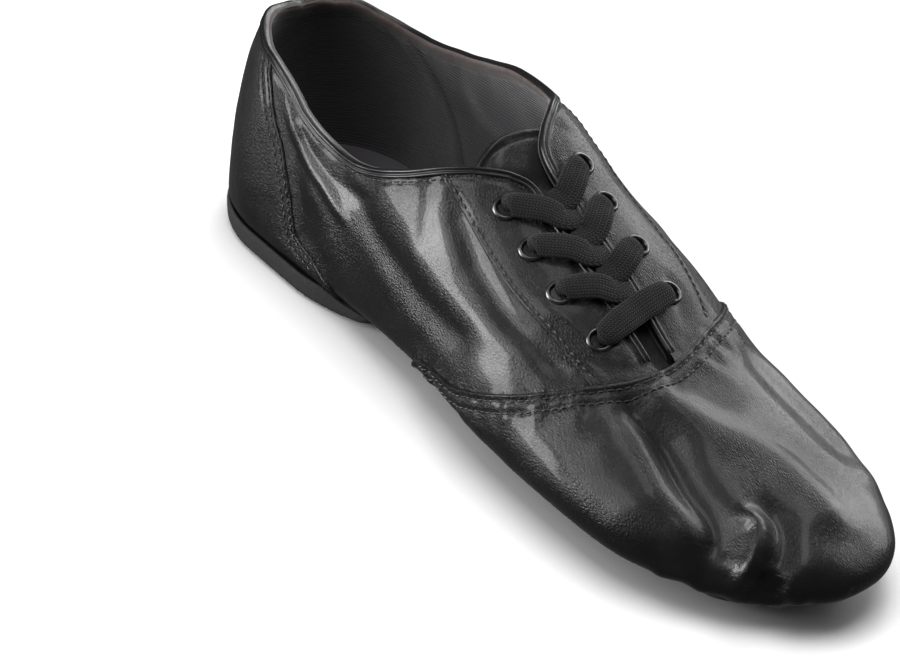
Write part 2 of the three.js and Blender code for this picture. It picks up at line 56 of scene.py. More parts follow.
# Sizes of the last, as the solids have them; the length and the heel's place are read from the frame
VAMP_STEP = 0.8
upper_low, upper_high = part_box("upper")
LENGTH = round((upper_high.x - upper_low.x) / MM - VAMP_STEP, 1)
HEEL_MIDDLE = round(-upper_low.x / MM, 1)
BALL_WIDTH = 80
INSTEP_HEIGHT = 75
HEEL_ROUNDING, HEEL_LEAN = 32, 14
TOE_ROUNDING, TOE_DROP = 62, 42
ARCH_LIFT, TOE_SPRING = 2.3, 1.8
HEEL_SEAT = 5.4
BALL_SEAT = 3.6

# Sizes of the pieces
LEATHER = 0.8
STITCH_PITCH = 2.5
STITCH_LENGTH = 1.9
STITCH_WIDTH = 0.5
COLLAR_ROW = 2.9
LACE_WIDTH, LACE_THICKNESS = 8.0, 1.3
STRAND, LACE_UV = 0.0085, 0.01
RIB_PITCH = 1.0
NET_SPACING = 0.75
FOLD, TUCK = 0.9, 1.0

# along, near, far, centre, seat, arch, spring, widest, top, powerNear, powerFar, powerUnder
SECTIONS = [
    (0.00, 0.375, 0.363, 0.000, 1.00, 0.00, 0.00, 0.155, 0.888, 2.5, 2.6, 6.0),
    (0.12, 0.375, 0.388, 0.000, 1.00, 0.00, 0.00, 0.155, 0.941, 2.5, 2.7, 6.0),
    (0.25, 0.375, 0.406, 0.000, 1.00, 0.00, 0.00, 0.168, 0.995, 2.4, 2.8, 5.5),
    (0.38, 0.400, 0.438, 0.000, 0.75, 0.76, 0.00, 0.200, 0.954, 2.2, 3.0, 4.2),
    (0.50, 0.444, 0.475, 0.000, 0.50, 1.00, 0.00, 0.207, 0.773, 2.0, 2.9, 3.3),
    (0.60, 0.481, 0.500, 0.000, 0.25, 0.37, 0.00, 0.199, 0.646, 1.9, 2.7, 2.9),
    (0.70, 0.485, 0.504, 0.000, 0.05, 0.00, 0.00, 0.191, 0.480, 1.9, 2.4, 2.7),
    (0.80, 0.478, 0.509, 0.013, 0.00, 0.00, 0.00, 0.165, 0.361, 2.1, 2.2, 2.8),
    (0.90, 0.403, 0.490, 0.038, 0.00, 0.00, 0.20, 0.152, 0.295, 2.2, 2.1, 2.8),
    (1.00, 0.265, 0.478, 0.063, 0.00, 0.00, 1.00, 0.145, 0.261, 2.2, 2.0, 2.7),
]


def mirrored(rows):
    return [(along, -around) for along, around in rows]


# Seams and edges: (along, around) from the back or the lateral side onwards
COLLAR_LATERAL = [
    (0.0175, 0.0), (0.025, -28.0), (0.042, -38.5), (0.074, -44.0), (0.110, -46.6), (0.148, -50.5),
    (0.187, -55.5), (0.240, -59.0), (0.289, -58.0), (0.328, -54.0), (0.371, -46.0), (0.405, -36.0),
    (0.434, -24.0), (0.458, -12.5), (0.478, -6.5), (0.540, -6.0), (0.620, -6.0), (0.690, -5.0),
]
COLLAR_MEDIAL = [
    (0.0175, 0.0), (0.020, 25.0), (0.028, 39.0), (0.048, 47.0), (0.077, 51.0), (0.113, 53.0),
    (0.164, 52.0), (0.222, 49.5), (0.291, 43.0), (0.338, 39.0), (0.372, 34.5), (0.400, 24.0),
    (0.423, 14.0), (0.445, 7.0), (0.470, 5.0), (0.540, 5.5), (0.620, 5.5), (0.690, 5.0),
]
VAMP_UNDER = [(0.465, 104.0), (0.447, 120.0), (0.442, 150.0), (0.440, 180.0)]
VAMP_EDGE = [
    *mirrored(VAMP_UNDER)[::-1], (0.505, -95.0), (0.550, -87.0), (0.594, -77.0), (0.633, -64.0),
    (0.660, -50.0), (0.680, -36.0), (0.695, -23.0), (0.702, -12.0), (0.703, 0.0), (0.694, 12.0),
    (0.676, 26.0), (0.655, 41.0), (0.625, 57.0), (0.590, 70.0), (0.550, 82.0), (0.505, 94.0), *VAMP_UNDER,
]
COUNTER_UNDER = [(0.192, 80.0), (0.205, 88.0), (0.219, 94.0), (0.236, 101.0), (0.255, 112.0)]
COUNTER_LATERAL = [
    (0.083, -44.5), (0.094, -45.5), (0.104, -49.5), (0.120, -55.0), (0.141, -62.0), (0.163, -68.0),
    (0.178, -74.0), *mirrored(COUNTER_UNDER),
]
COUNTER_MEDIAL = [
    (0.083, 51.5), (0.094, 52.5), (0.104, 54.5), (0.120, 58.5), (0.141, 63.5), (0.163, 69.0),
    (0.178, 74.5), *COUNTER_UNDER,
]
EYESTAY_LATERAL = [
    (0.397, -39.5), (0.430, -40.0), (0.475, -40.0), (0.544, -40.0), (0.582, -38.5), (0.620, -36.5),
    (0.655, -35.0), (0.687, -33.0),
]
EYESTAY_MEDIAL = [
    (0.374, 36.0), (0.400, 39.5), (0.436, 39.5), (0.517, 38.5), (0.551, 38.0), (0.600, 37.5),
    (0.640, 35.5), (0.672, 32.0),
]
COLLAR = COLLAR_LATERAL[::-1] + COLLAR_MEDIAL[1:]
EYELETS_LATERAL = [(0.481, -23.0), (0.533, -23.0), (0.589, -23.5), (0.651, -20.0)]
EYELETS_MEDIAL = [(0.470, 20.0), (0.518, 19.0), (0.576, 18.5), (0.632, 20.0)]


# The last

PROBE = 0.05
END_GAP = 0.02


def eased(t):
    return t * t * (3 - 2 * t)


def bell(distance, width):
    return np.exp(-((distance / width) ** 2))


def read_table(rows, at):
    """Monotone cubic through the rows of a table; one array for each column after the first."""
    rows = np.array(rows, float)
    x, y = rows[:, 0], rows[:, 1:]
    at = np.clip(np.asarray(at, float), x[0], x[-1])
    h = np.diff(x)[:, None]
    rise = np.diff(y, axis=0) / h
    product = rise[:-1] * rise[1:]
    total = np.where(product > 0, rise[:-1] + rise[1:], 1.0)
    slope = np.empty_like(y)
    slope[0], slope[-1] = rise[0], rise[-1]
    slope[1:-1] = np.where(product > 0, 2 * product / total, 0.0)
    i = np.clip(np.searchsorted(x, at, side="right") - 1, 0, len(h) - 1)
    t = ((at - x[i]) / h[i, 0])[..., None]
    a, b = slope[i] * h[i], slope[i + 1] * h[i]
    value = y[i] + (y[i + 1] - y[i]) * eased(t) + a * t * (1 - t) ** 2 - b * t * t * (1 - t)
    return np.moveaxis(value, -1, 0)


def rounded_end(distance, radius, power):
    t = np.clip(1 - distance / radius, 0, 1)
    return (1 - t**power) ** (1 / power)


def section_at(x, rise):
    """Half-widths, centre, middle height, heights and powers of the section at x, grown by rise."""
    near, far, centre, seat, arch, spring, widest, top, *powers = read_table(SECTIONS, x / LENGTH)
    heel, toe = x + rise, LENGTH + rise - x
    plan = rounded_end(heel, HEEL_ROUNDING + rise, 2.15) * rounded_end(toe, TOE_ROUNDING + rise, 2.3)
    side = rounded_end(heel, HEEL_LEAN + rise, 2.3) * rounded_end(toe, TOE_DROP + rise, 2.4)
    below = widest * INSTEP_HEIGHT - arch * ARCH_LIFT - spring * TOE_SPRING
    return SimpleNamespace(
        near=(near * BALL_WIDTH + rise) * plan,
        far=(far * BALL_WIDTH + rise) * plan,
        centre=centre * BALL_WIDTH,
        middle=BALL_SEAT + (HEEL_SEAT - BALL_SEAT) * seat + widest * INSTEP_HEIGHT,
        above=((top - widest) * INSTEP_HEIGHT + rise) * side,
        below=(below + rise) * side,
        powers=powers,
    )


def quarter_of(section, lateral, upper):
    """Half-width, height and power of a section in one of its four quarters."""
    power_near, power_far, power_under = section.powers
    return (
        np.where(lateral, section.near, section.far),
        np.where(upper, section.above, section.below),
        np.where(upper, np.where(lateral, power_near, power_far), power_under),
    )


def skin(x, around, rise=0.0):
    """Points of the last's skin, grown outwards by rise."""
    x, around = np.broadcast_arrays(np.asarray(x, float), np.asarray(around, float))
    section = section_at(x, rise)
    across, up = np.sin(np.radians(around)), np.cos(np.radians(around))
    half, height, power = quarter_of(section, across < 0, up > 0)
    reach = (np.abs(across) ** power + np.abs(up) ** power) ** (-1 / power)
    return np.stack([x, section.centre + half * reach * across, section.middle + height * reach * up], -1)


def on_skin(places):
    return skin(places[..., 0], places[..., 1])


def field(points, rise=0.0):
    """Below zero inside the last grown by rise, above zero outside it."""
    x, y, z = np.moveaxis(points, -1, 0)
    inside = np.clip(x, -rise + END_GAP, LENGTH + rise - END_GAP)
    section = section_at(inside, rise)
    y, z = y - section.centre, z - section.middle
    half, height, power = quarter_of(section, y < 0, z > 0)
    return (np.abs(y) / half) ** power + (np.abs(z) / height) ** power - 1 + np.abs(x - inside)


def outward(points, rise=0.0):
    """Outward normals of the last's skin at points on it."""
    gradient = np.zeros_like(points)
    for axis in range(3):
        shift = np.zeros(3)
        shift[axis] = PROBE
        gradient[..., axis] = field(points + shift, rise) - field(points - shift, rise)
    return unit(gradient)


def unit(vectors):
    return vectors / np.maximum(np.linalg.norm(vectors, axis=-1, keepdims=True), 1e-9)


def cast(start, target):
    """Where rays from inside the last, through the given points, meet its skin."""
    low = np.zeros(target.shape[:-1])
    high = np.full(target.shape[:-1], 3.0)
    for _ in range(26):
        share = (low + high) / 2
        outside = field(start + (target - start) * share[..., None]) > 0
        high = np.where(outside, share, high)
        low = np.where(outside, low, share)
    return start + (target - start) * high[..., None]


# Paths on the last

ROW_STEPS = 24


def reach_of(points):
    """How far along a run each of its points is."""
    gaps = np.linalg.norm(np.diff(points, axis=0), axis=1)
    return np.concatenate([[0], np.cumsum(gaps)])


def read_run(at, reach, run):
    """Every column of a run, read at the given distances."""
    return np.stack([np.interp(at, reach, column) for column in run.T], -1)


def evenly(points, spacing=None, count=None):
    """The same run with its points evenly spaced."""
    reach = reach_of(points)
    count = count or max(int(round(reach[-1] / spacing)) + 1, 2)
    return read_run(np.linspace(0, reach[-1], count), reach, points)


def through(rows, steps):
    """Centripetal Catmull-Rom through rows of numbers, spaced by their first three."""
    p = np.vstack([2 * rows[0] - rows[1], rows, 2 * rows[-1] - rows[-2]])
    gap = np.sqrt(np.maximum(np.linalg.norm(np.diff(p[:, :3], axis=0), axis=1), 1e-6))
    out = []
    for k in range(1, len(p) - 2):
        t0, t1, t2 = gap[k - 1], gap[k], gap[k + 1]
        m1 = (p[k] - p[k - 1]) / t0 - (p[k + 1] - p[k - 1]) / (t0 + t1) + (p[k + 1] - p[k]) / t1
        m2 = (p[k + 1] - p[k]) / t1 - (p[k + 2] - p[k]) / (t1 + t2) + (p[k + 2] - p[k + 1]) / t2
        u = np.linspace(0, 1, steps, endpoint=False)[:, None]
        a, b = m1 * t1, m2 * t1
        out.append(
            (2 * u**3 - 3 * u**2 + 1) * p[k] + (u**3 - 2 * u**2 + u) * a
            + (3 * u**2 - 2 * u**3) * p[k + 1] + (u**3 - u**2) * b
        )
    return np.vstack(out + [p[-2:-1]])


def smooth_rows(rows):
    """A smooth run of (x, around) through rows of (along, around)."""
    return through(np.array([(along * LENGTH, around) for along, around in rows], float), ROW_STEPS)


def on_last(rows, count):
    """(x, around) through the rows, evenly spaced as measured on the skin."""
    run = smooth_rows(rows)
    reach = reach_of(on_skin(run))
    return read_run(np.linspace(0, reach[-1], count), reach, run)


def trace(rows, spacing=1.0):
    """Points on the skin along the rows, about spacing apart."""
    return evenly(on_skin(on_last(rows, 400)), spacing=spacing)


def along_of(path):
    return unit(np.gradient(path, axis=0))


def beside(path, distance):
    """The path moved sideways on the skin: to the left of its way, seen from outside, if positive."""
    side = unit(np.cross(outward(path), along_of(path)))
    return settle(path + side * distance)


def settle(points):
    """Points brought onto the skin, along its own normals."""
    for _ in range(3):
        normal = outward(points)
        slope = (field(points + normal * PROBE) - field(points - normal * PROBE)) / (2 * PROBE)
        points = points - normal * (field(points) / np.maximum(slope, 1e-4))[..., None]
    return points


def nearest(points, path):
    """Distance of each point from a path, how far along the path that is, and if it is on its left."""
    normals = outward(path)
    best = np.full(len(points), np.inf)
    at = np.zeros(len(points))
    left = np.zeros(len(points), bool)
    ahead = 0.0
    for start, end, normal in zip(path[:-1], path[1:], normals):
        way = end - start
        length = np.linalg.norm(way)
        share = np.clip((points - start) @ way / length**2, 0, 1)
        gap = points - (start + share[:, None] * way)
        distance = np.linalg.norm(gap, axis=1)
        closer = distance < best
        best[closer] = distance[closer]
        at[closer] = ahead + share[closer] * length
        left[closer] = gap[closer] @ np.cross(normal, way) > 0
        ahead += length
    return best, at, left


WOBBLES, FIRST_WOBBLE = 4096, 100
LUMP_WAVES = 9


def wobble(at, seed, period):
    """Smooth random values from -1 to 1 along a line."""
    values = np.random.default_rng(seed).uniform(-1, 1, WOBBLES)
    place = np.asarray(at) / period + FIRST_WOBBLE
    whole = np.floor(place).astype(int)
    share = eased(place - whole)
    return values[whole % WOBBLES] * (1 - share) + values[(whole + 1) % WOBBLES] * share


def lumps(points, seed, wavelength):
    """Smooth random values in space, about -1 to 1."""
    rng = np.random.default_rng(seed)
    total = np.zeros(points.shape[:-1])
    for _ in range(LUMP_WAVES):
        direction = unit(rng.normal(size=3))
        turns = math.tau / (wavelength * rng.uniform(0.7, 1.5))
        total += np.sin(points @ direction * turns + rng.uniform(0, 7))
    return total / 4


# Relief of the leather: height, width to the left of the way, width to its right, way
CREASES = [
    # Quarter, lateral side: a ridge that leaves the counter seam, a long valley and the plateau beside it
    (1.1, 1.8, 2.4, [(0.134, -54), (0.152, -57), (0.180, -62), (0.211, -67), (0.253, -71), (0.312, -77)]),
    (0.8, 4.0, 5.0, [(0.190, -72), (0.225, -74), (0.260, -80), (0.290, -92)]),
    (-1.3, 4.5, 5.0, [(0.200, -57), (0.239, -62), (0.296, -67), (0.366, -73), (0.463, -75), (0.560, -70)]),
    (1.0, 6.5, 5.5, [(0.310, -58), (0.391, -61), (0.458, -62), (0.552, -56), (0.640, -46)]),
    (-0.6, 4.0, 3.2, [(0.370, -40), (0.400, -47), (0.420, -56), (0.440, -66)]),
    (0.5, 3.6, 3.6, [(0.410, -46), (0.450, -50), (0.500, -53)]),
    (-0.6, 2.2, 3.0, [(0.160, -57), (0.190, -62), (0.230, -67), (0.290, -67), (0.340, -62)]),
    (-1.5, 3.2, 3.8, [(0.415, -40), (0.457, -43), (0.506, -46.5), (0.571, -47), (0.640, -42), (0.680, -38)]),
    # Vamp: a valley from the seam to the lateral edge, the ridge beside it, and pleats over the toe
    (-3.8, 6.0, 5.2, [
        (0.690, -24), (0.735, -22), (0.771, -22), (0.825, -29), (0.869, -37), (0.894, -50), (0.907, -76),
        (0.910, -104),
    ]),
    (-2.3, 4.4, 3.4, [(0.868, -14), (0.906, -13), (0.938, -30), (0.952, -66), (0.954, -100)]),
    (3.0, 3.4, 2.4, [(0.872, -27), (0.903, -26), (0.925, -42), (0.934, -70), (0.929, -112)]),
    (2.1, 6.5, 8.5, [(0.695, -17), (0.730, -14), (0.778, -3), (0.842, 10), (0.913, 15), (0.968, 16)]),
    (1.0, 6.0, 6.0, [(0.705, -45), (0.747, -41), (0.789, -42), (0.830, -52), (0.850, -62)]),
    (-1.8, 2.6, 3.2, [(0.945, -62), (0.958, -96), (0.955, -128)]),
    (1.0, 3.0, 3.5, [(0.962, -88), (0.975, -105), (0.980, -130)]),
    # Facings: soft waves between the eyelets and the vamp
    (0.8, 2.6, 2.6, [(0.557, -34), (0.611, -29), (0.659, -24), (0.692, -17)]),
    (-0.6, 2.0, 2.0, [(0.600, -33), (0.645, -28), (0.685, -24)]),
    (0.6, 2.4, 2.4, [(0.655, -14), (0.675, -13), (0.695, -13)]),
    (-0.5, 2.6, 2.6, [(0.600, 24), (0.640, 22), (0.680, 17)]),
    # Quarter and vamp, medial side
    (-1.2, 5.0, 5.0, [(0.190, 58), (0.250, 66), (0.330, 70), (0.440, 74), (0.540, 68)]),
    (1.0, 6.0, 6.0, [(0.300, 52), (0.380, 58), (0.460, 60), (0.550, 55)]),
    (-0.9, 3.0, 3.0, [(0.400, 43), (0.460, 44), (0.540, 45), (0.620, 43)]),
    (-1.3, 5.0, 5.0, [(0.690, 40), (0.760, 46), (0.830, 52), (0.880, 70)]),
    (0.9, 4.5, 4.5, [(0.690, 56), (0.732, 64), (0.816, 72), (0.880, 70), (0.920, 76)]),
    # Sole: the raised seam down the middle of the arch
    (1.0, 1.6, 1.6, [(0.345, 180), (0.590, 180)]),
]
# Pleats that gather the vamp under the toe pad and beside the ball pad: start, end, height, width
PLEATS = [
    ((0.966, 176), (0.935, 171), 1.0, 2.0), ((0.966, 200), (0.932, 196), 1.1, 2.2),
    ((0.970, 130), (0.905, 142), 1.5, 2.4), ((0.952, 112), (0.880, 130), 1.5, 2.6),
    ((0.918, 104), (0.850, 124), 1.2, 2.8), ((0.880, 100), (0.815, 122), 0.9, 3.0),
    ((0.966, 222), (0.922, 214), 1.4, 2.3), ((0.968, 244), (0.905, 228), 1.6, 2.4),
    ((0.945, 256), (0.880, 236), 1.4, 2.6), ((0.905, 262), (0.845, 240), 1.1, 2.8),
]
CREASES += [(height, width, width, [start, end]) for start, end, height, width in PLEATS]

# Lumps all over the leather (height, seed, wavelength), the fade at a crease's ends, a stitched groove,
# and the widths past which a bell no longer shows
LUMPS = [(0.20, 3, 34), (0.07, 4, 11)]
CREASE_END, CREASE_FADE = 11, 0.3
GROOVE_DEPTH, GROOVE_WIDTH = 0.32, 0.8
CRINKLE_WIDTH, CRINKLE_REACH = 6, 14
SHOWS = 2.6


def seam(rows, *distances, rise=0.0, cut=0):
    """Runs of stitches beside the rows, at distances to the left of their way, with the panel's rise."""
    path = trace(rows, spacing=1.5)
    path = path[cut:len(path) - cut]
    return [(beside(path, distance), rise) for distance in distances]


VAMP_SEAMS = seam(VAMP_EDGE, -2.0, -5.2, rise=VAMP_STEP)
COUNTER_SEAMS = [
    *seam(COUNTER_LATERAL, -1.3, -3.9, rise=LEATHER, cut=2),
    *seam(COUNTER_MEDIAL, 1.3, 3.9, rise=LEATHER, cut=2),
]
EYESTAY_SEAMS = [
    *seam(EYESTAY_LATERAL, 1.5, rise=LEATHER, cut=2),
    *seam(EYESTAY_MEDIAL, -1.5, rise=LEATHER, cut=2),
]
ARCH_SEAMS = [
    *seam([(0.345, 180), (0.434, 180)], -2.4, 2.4),
    *seam([(0.450, 180), (0.588, 180)], -2.4, 2.4, rise=VAMP_STEP),
]
COLLAR_SEAM = seam(COLLAR, COLLAR_ROW)
STITCHED = VAMP_SEAMS + COUNTER_SEAMS + EYESTAY_SEAMS + ARCH_SEAMS + COLLAR_SEAM
# Puckers across a seam: the seam, their height, how far apart, and how far they reach
PUCKERS = [
    (VAMP_SEAMS[1][0], 0.52, 3.4, 4.5), (VAMP_SEAMS[0][0], 0.34, 2.4, 2.0),
    (COUNTER_SEAMS[0][0], 0.14, 3.0, 3.5), (COUNTER_SEAMS[2][0], 0.14, 3.0, 3.5),
    (EYESTAY_SEAMS[0][0], 0.08, 4.0, 3.0), (EYESTAY_SEAMS[1][0], 0.05, 4.0, 3.0),
    (COLLAR_SEAM[0][0], 0.22, 4.5, 6.0),
]


def near_path(points, path, reach):
    """Which points lie near a path, and for those the distance, the place along it and the side."""
    near = np.all((points > path.min(0) - reach) & (points < path.max(0) + reach), axis=1)
    return near, *nearest(points[near], path)


def relief(points):
    """Height of the leather's creases, seams and lumps at points on the last."""
    flat = points.reshape(-1, 3)
    height = sum(top * lumps(flat, seed, wavelength) for top, seed, wavelength in LUMPS)
    for top, left, right, rows in CREASES:
        path = trace(rows, spacing=2.5)
        length = reach_of(path)[-1]
        near, distance, at, on_left = near_path(flat, path, SHOWS * max(left, right))
        ends = np.clip(np.minimum(at, length - at) / min(CREASE_FADE * length, CREASE_END), 0, 1)
        height[near] += top * bell(distance, np.where(on_left, left, right)) * eased(ends)
    for path, _ in STITCHED:
        near, distance, *_ = near_path(flat, path, 3)
        height[near] -= GROOVE_DEPTH * bell(distance, GROOVE_WIDTH)
    for k, (path, top, period, reach) in enumerate(PUCKERS):
        near, distance, at, _ = near_path(flat, path, SHOWS * reach)
        height[near] += top * wobble(at, 20 + k, period) * bell(distance, reach)
    return height.reshape(points.shape[:-1])


def crinkled(points):
    """How finely crinkled the leather is: most beside its seams, and in patches over the bends."""
    flat = points.reshape(-1, 3)
    amount = np.clip(0.25 + 0.35 * lumps(flat, 12, 30), 0, 0.7)
    for path, _ in STITCHED:
        near, distance, *_ = near_path(flat, path, CRINKLE_REACH)
        amount[near] = np.maximum(amount[near], bell(distance, CRINKLE_WIDTH))
    return np.clip(amount, 0, 1)


# Meshes

def linked(name, mesh):
    piece = bpy.data.objects.new(name, mesh)
    bpy.context.scene.collection.objects.link(piece)
    return piece


def placed(points):
    """Points in the last's millimetres, in metres at the place of the solids."""
    return ((np.asarray(points, float).reshape(-1, 3) - (HEEL_MIDDLE, 0, 0)) * MM).tolist()


def mesh_of(name, points, faces, finish):
    mesh = bpy.data.meshes.new(name)
    mesh.from_pydata(placed(points), [], faces)
    mesh.polygons.foreach_set("use_smooth", [True] * len(mesh.polygons))
    mesh.materials.append(finish)
    mesh.update()
    return linked(name, mesh)


def grid_faces(rows, columns, closed=False, turned=False, start=0):
    """Quads over a net of points, row after row; a closed net joins its last column to its first."""
    faces = []
    for i in range(rows - 1):
        for j in range(columns if closed else columns - 1):
            k = (j + 1) % columns
            quad = (i * columns + j, i * columns + k, (i + 1) * columns + k, (i + 1) * columns + j)
            quad = tuple(corner + start for corner in quad)
            faces.append(quad[::-1] if turned else quad)
    return faces


def fan(row, columns, tip, turned=False):
    """Triangles between a row of a closed net and a point."""
    faces = [(row * columns + j, row * columns + (j + 1) % columns, tip) for j in range(columns)]
    return [face[::-1] for face in faces] if turned else faces


def facing_away(points, outwards):
    """True where a net's quads, taken row after row, look the other way from the given normals."""
    middle = (points.shape[0] // 2, points.shape[1] // 2)
    across = points[middle[0], middle[1] + 1] - points[middle]
    down = points[middle[0] + 1, middle[1]] - points[middle]
    return float(np.dot(np.cross(across, down), outwards[middle])) < 0


FOLD_LINES = np.array([0.12, 0.3, 0.55])


def shares(length, spacing, fine_start=False, fine_end=False):
    """Shares of a net's side at which its lines start, closer together at a folded edge."""
    extra = FOLD_LINES / length
    parts = [np.linspace(0, 1, max(int(length / spacing), 2) + 1)]
    if fine_start:
        parts.append(extra)
    if fine_end:
        parts.append(1 - extra)
    return np.unique(np.concatenate(parts))


def sample(rows, at):
    return read_run(at, np.linspace(0, 1, 600), on_last(rows, 600))


def measure(rows):
    return reach_of(trace(rows))[-1]


def between(top, bottom, back, front, columns, lines):
    """Points over the patch between four runs; top and bottom run forwards, back and front downwards."""
    u, v = columns[None, :, None], lines[:, None, None]
    corners = (
        (1 - u) * (1 - v) * top[0] + u * (1 - v) * top[-1] + (1 - u) * v * bottom[0] + u * v * bottom[-1]
    )
    return (1 - v) * top[None] + v * bottom[None] + (1 - u) * back[:, None] + u * front[:, None] - corners


def net(top, bottom, back, front, folded):
    """(x, around) over the patch between four rows of places on the last."""
    columns = shares(max(measure(top), measure(bottom)), NET_SPACING, "back" in folded, "front" in folded)
    lines = shares(max(measure(back), measure(front)), NET_SPACING, "top" in folded, "bottom" in folded)
    sides = sample(top, columns), sample(bottom, columns), sample(back, lines), sample(front, lines)
    return between(*sides, columns, lines)


def border(side):
    """The axis of a net that a border lies across, and the border's index on it."""
    return (0 if side in ("top", "bottom") else 1), (0 if side in ("top", "back") else -1)


def from_border(points, side):
    """Distance of each point of a net from one of its borders, along the net's own lines."""
    axis, index = border(side)
    reach = np.cumsum(np.linalg.norm(np.diff(points, axis=axis), axis=-1), axis)
    reach = np.concatenate([np.zeros_like(np.take(reach, [0], axis)), reach], axis)
    return np.abs(reach - np.take(reach, [index], axis))


def rolled(distance, radius):
    """How far a rounded edge falls away at a distance from it."""
    short = radius - np.clip(distance, 0, radius)
    return radius - np.sqrt(np.maximum(radius**2 - short**2, 0))


def tuck(points, normals, side):
    """The net with one more line along a border, pushed in so that the edge has a wall."""
    axis, index = border(side)
    order = 1 if index == 0 else -1
    normal = np.take(normals, [index], axis)
    line = np.take(points, [index], axis) - normal * TUCK
    return np.concatenate([line, points][::order], axis), np.concatenate([normal, normals][::order], axis)


def sheet_of(name, flat, rise, folded=(), outer=True):
    """A panel over a net of points on the skin, rounded over at its folded edges: leather or inner lining."""
    normals = outward(flat)
    height = relief(flat) + rise
    for side in folded:
        height -= rolled(from_border(flat, side), FOLD)
    points = flat + normals * height[..., None]
    for side in folded:
        points, normals = tuck(points, normals, side)
    faces = grid_faces(*points.shape[:2], turned=facing_away(points, normals) == outer)
    piece = mesh_of(name, points, faces, leather if outer else lining)
    if outer:
        mark_crinkles(piece, points)
    return piece


def mark_crinkles(piece, points):
    """The leather's crinkles as an attribute of the mesh, for its finish to read."""
    layer = piece.data.attributes.new("crinkle", "FLOAT", "POINT")
    layer.data.foreach_set("value", crinkled(points))


# Finishes

def join(tree, socket, value):
    """Links an input to another node's socket, or sets it to a value."""
    if isinstance(value, bpy.types.NodeSocket):
        tree.links.new(value, socket)
    else:
        socket.default_value = value


def add_node(tree, kind, settings=(), **inputs):
    node = tree.nodes.new(kind)
    for key, value in dict(settings).items():
        setattr(node, key, value)
    for key, value in inputs.items():
        join(tree, node.inputs[key.replace("_", " ")], value)
    return node


def add_math(tree, operation, *values):
    node = add_node(tree, "ShaderNodeMath", {"operation": operation})
    for socket, value in zip(node.inputs, values):
        join(tree, socket, value)
    return node.outputs[0]


class Finish:
    """A material's nodes, with short ways to add and join them."""

    def __init__(self, name, roughness, **inputs):
        self.material = bpy.data.materials.new(name)
        self.material.use_nodes = True
        self.tree = self.material.node_tree
        self.shader = self.tree.nodes["Principled BSDF"]
        self.shader.inputs["Roughness"].default_value = roughness
        for key, value in inputs.items():
            self.shader.inputs[key.replace("_", " ")].default_value = value
        self.place = self.node("ShaderNodeTexCoord").outputs["Object"]

    def node(self, kind, settings=(), **inputs):
        return add_node(self.tree, kind, settings, **inputs)

    def math(self, operation, *values):
        return add_math(self.tree, operation, *values)

    def noise(self, size, detail=2.0, roughness=0.5, vector=None):
        given = {"Vector": vector or self.place, "Scale": 1 / (size * MM)}
        return self.node("ShaderNodeTexNoise", Detail=detail, Roughness=roughness, **given).outputs["Fac"]

    def cells(self, size, vector=None):
        given = {"Vector": vector or self.place, "Scale": 1 / (size * MM)}
        return self.node("ShaderNodeTexVoronoi", {"feature": "DISTANCE_TO_EDGE"}, **given).outputs["Distance"]

    def stretched(self, angles, scale):
        """Object coordinates turned and stretched, for a grain that runs one way."""
        return self.node(
            "ShaderNodeMapping", {"vector_type": "POINT"}, Vector=self.place, Rotation=angles, Scale=scale
        ).outputs["Vector"]

    def bump(self, height, distance, strength=1.0):
        """Adds a bump of the given height in millimetres over what is joined already."""
        bump = self.node("ShaderNodeBump", Height=height, Distance=distance * MM, Strength=strength)
        normal = self.shader.inputs["Normal"]
        if normal.links:
            join(self.tree, bump.inputs["Normal"], normal.links[0].from_socket)
        join(self.tree, normal, bump.outputs["Normal"])

    def colours(self, fac, low, high, start=0.3, end=0.7):
        ramp = self.node("ShaderNodeValToRGB", Fac=fac)
        for element, place, colour in zip(ramp.color_ramp.elements, (start, end), (low, high)):
            element.position = place
            element.color = (*colour, 1)
        join(self.tree, self.shader.inputs["Base Color"], ramp.outputs["Color"])

    def rough(self, fac, low, high):
        value = self.node("ShaderNodeMapRange", Value=fac, To_Min=low, To_Max=high)
        join(self.tree, self.shader.inputs["Roughness"], value.outputs["Result"])


def make_leather():
    """Smooth black leather: a low sheen, a fine streaked grain, and more of it where it is crinkled."""
    finish = Finish("black_leather", 0.3, Specular_IOR_Level=0.25, Coat_Weight=0.15, Coat_Roughness=0.14)
    finish.colours(finish.noise(9, 4), (0.0016, 0.0016, 0.0019), (0.0030, 0.0030, 0.0034))
    finish.rough(finish.noise(5, 3), 0.26, 0.38)
    crinkle = finish.node("ShaderNodeAttribute", {"attribute_name": "crinkle"}).outputs["Fac"]
    amount = finish.math("MULTIPLY_ADD", crinkle, 0.9, 0.28)
    streaks = finish.stretched((0.3, 0.5, 0.7), (1.0, 2.6, 1.7))
    fine = finish.noise(0.75, 4, 0.65, streaks)
    creased = finish.math("MULTIPLY", finish.cells(1.5, streaks), amount)
    finish.bump(finish.noise(7, 3), 0.5, 0.4)
    finish.bump(creased, 0.34, 0.9)
    finish.bump(finish.math("MULTIPLY", fine, amount), 0.25, 0.9)
    return finish.material


def make_lining():
    finish = Finish("ribbed_lining", 0.88, Sheen_Weight=0.25, Sheen_Roughness=0.5)
    height = finish.node("ShaderNodeSeparateXYZ", Vector=finish.place).outputs["Z"]
    ribs = finish.math("SINE", finish.math("MULTIPLY", height, math.tau / (RIB_PITCH * MM)))
    # The lining is coloured darker in the troughs between its ribs: painted shade.
    painted_rib_shade = finish.math("MULTIPLY_ADD", ribs, 0.5, 0.5)
    finish.colours(painted_rib_shade, (0.011, 0.010, 0.012), (0.021, 0.019, 0.022), 0.1, 0.9)
    finish.bump(ribs, 0.06)
    finish.bump(finish.noise(0.5, 2), 0.10, 0.8)
    return finish.material


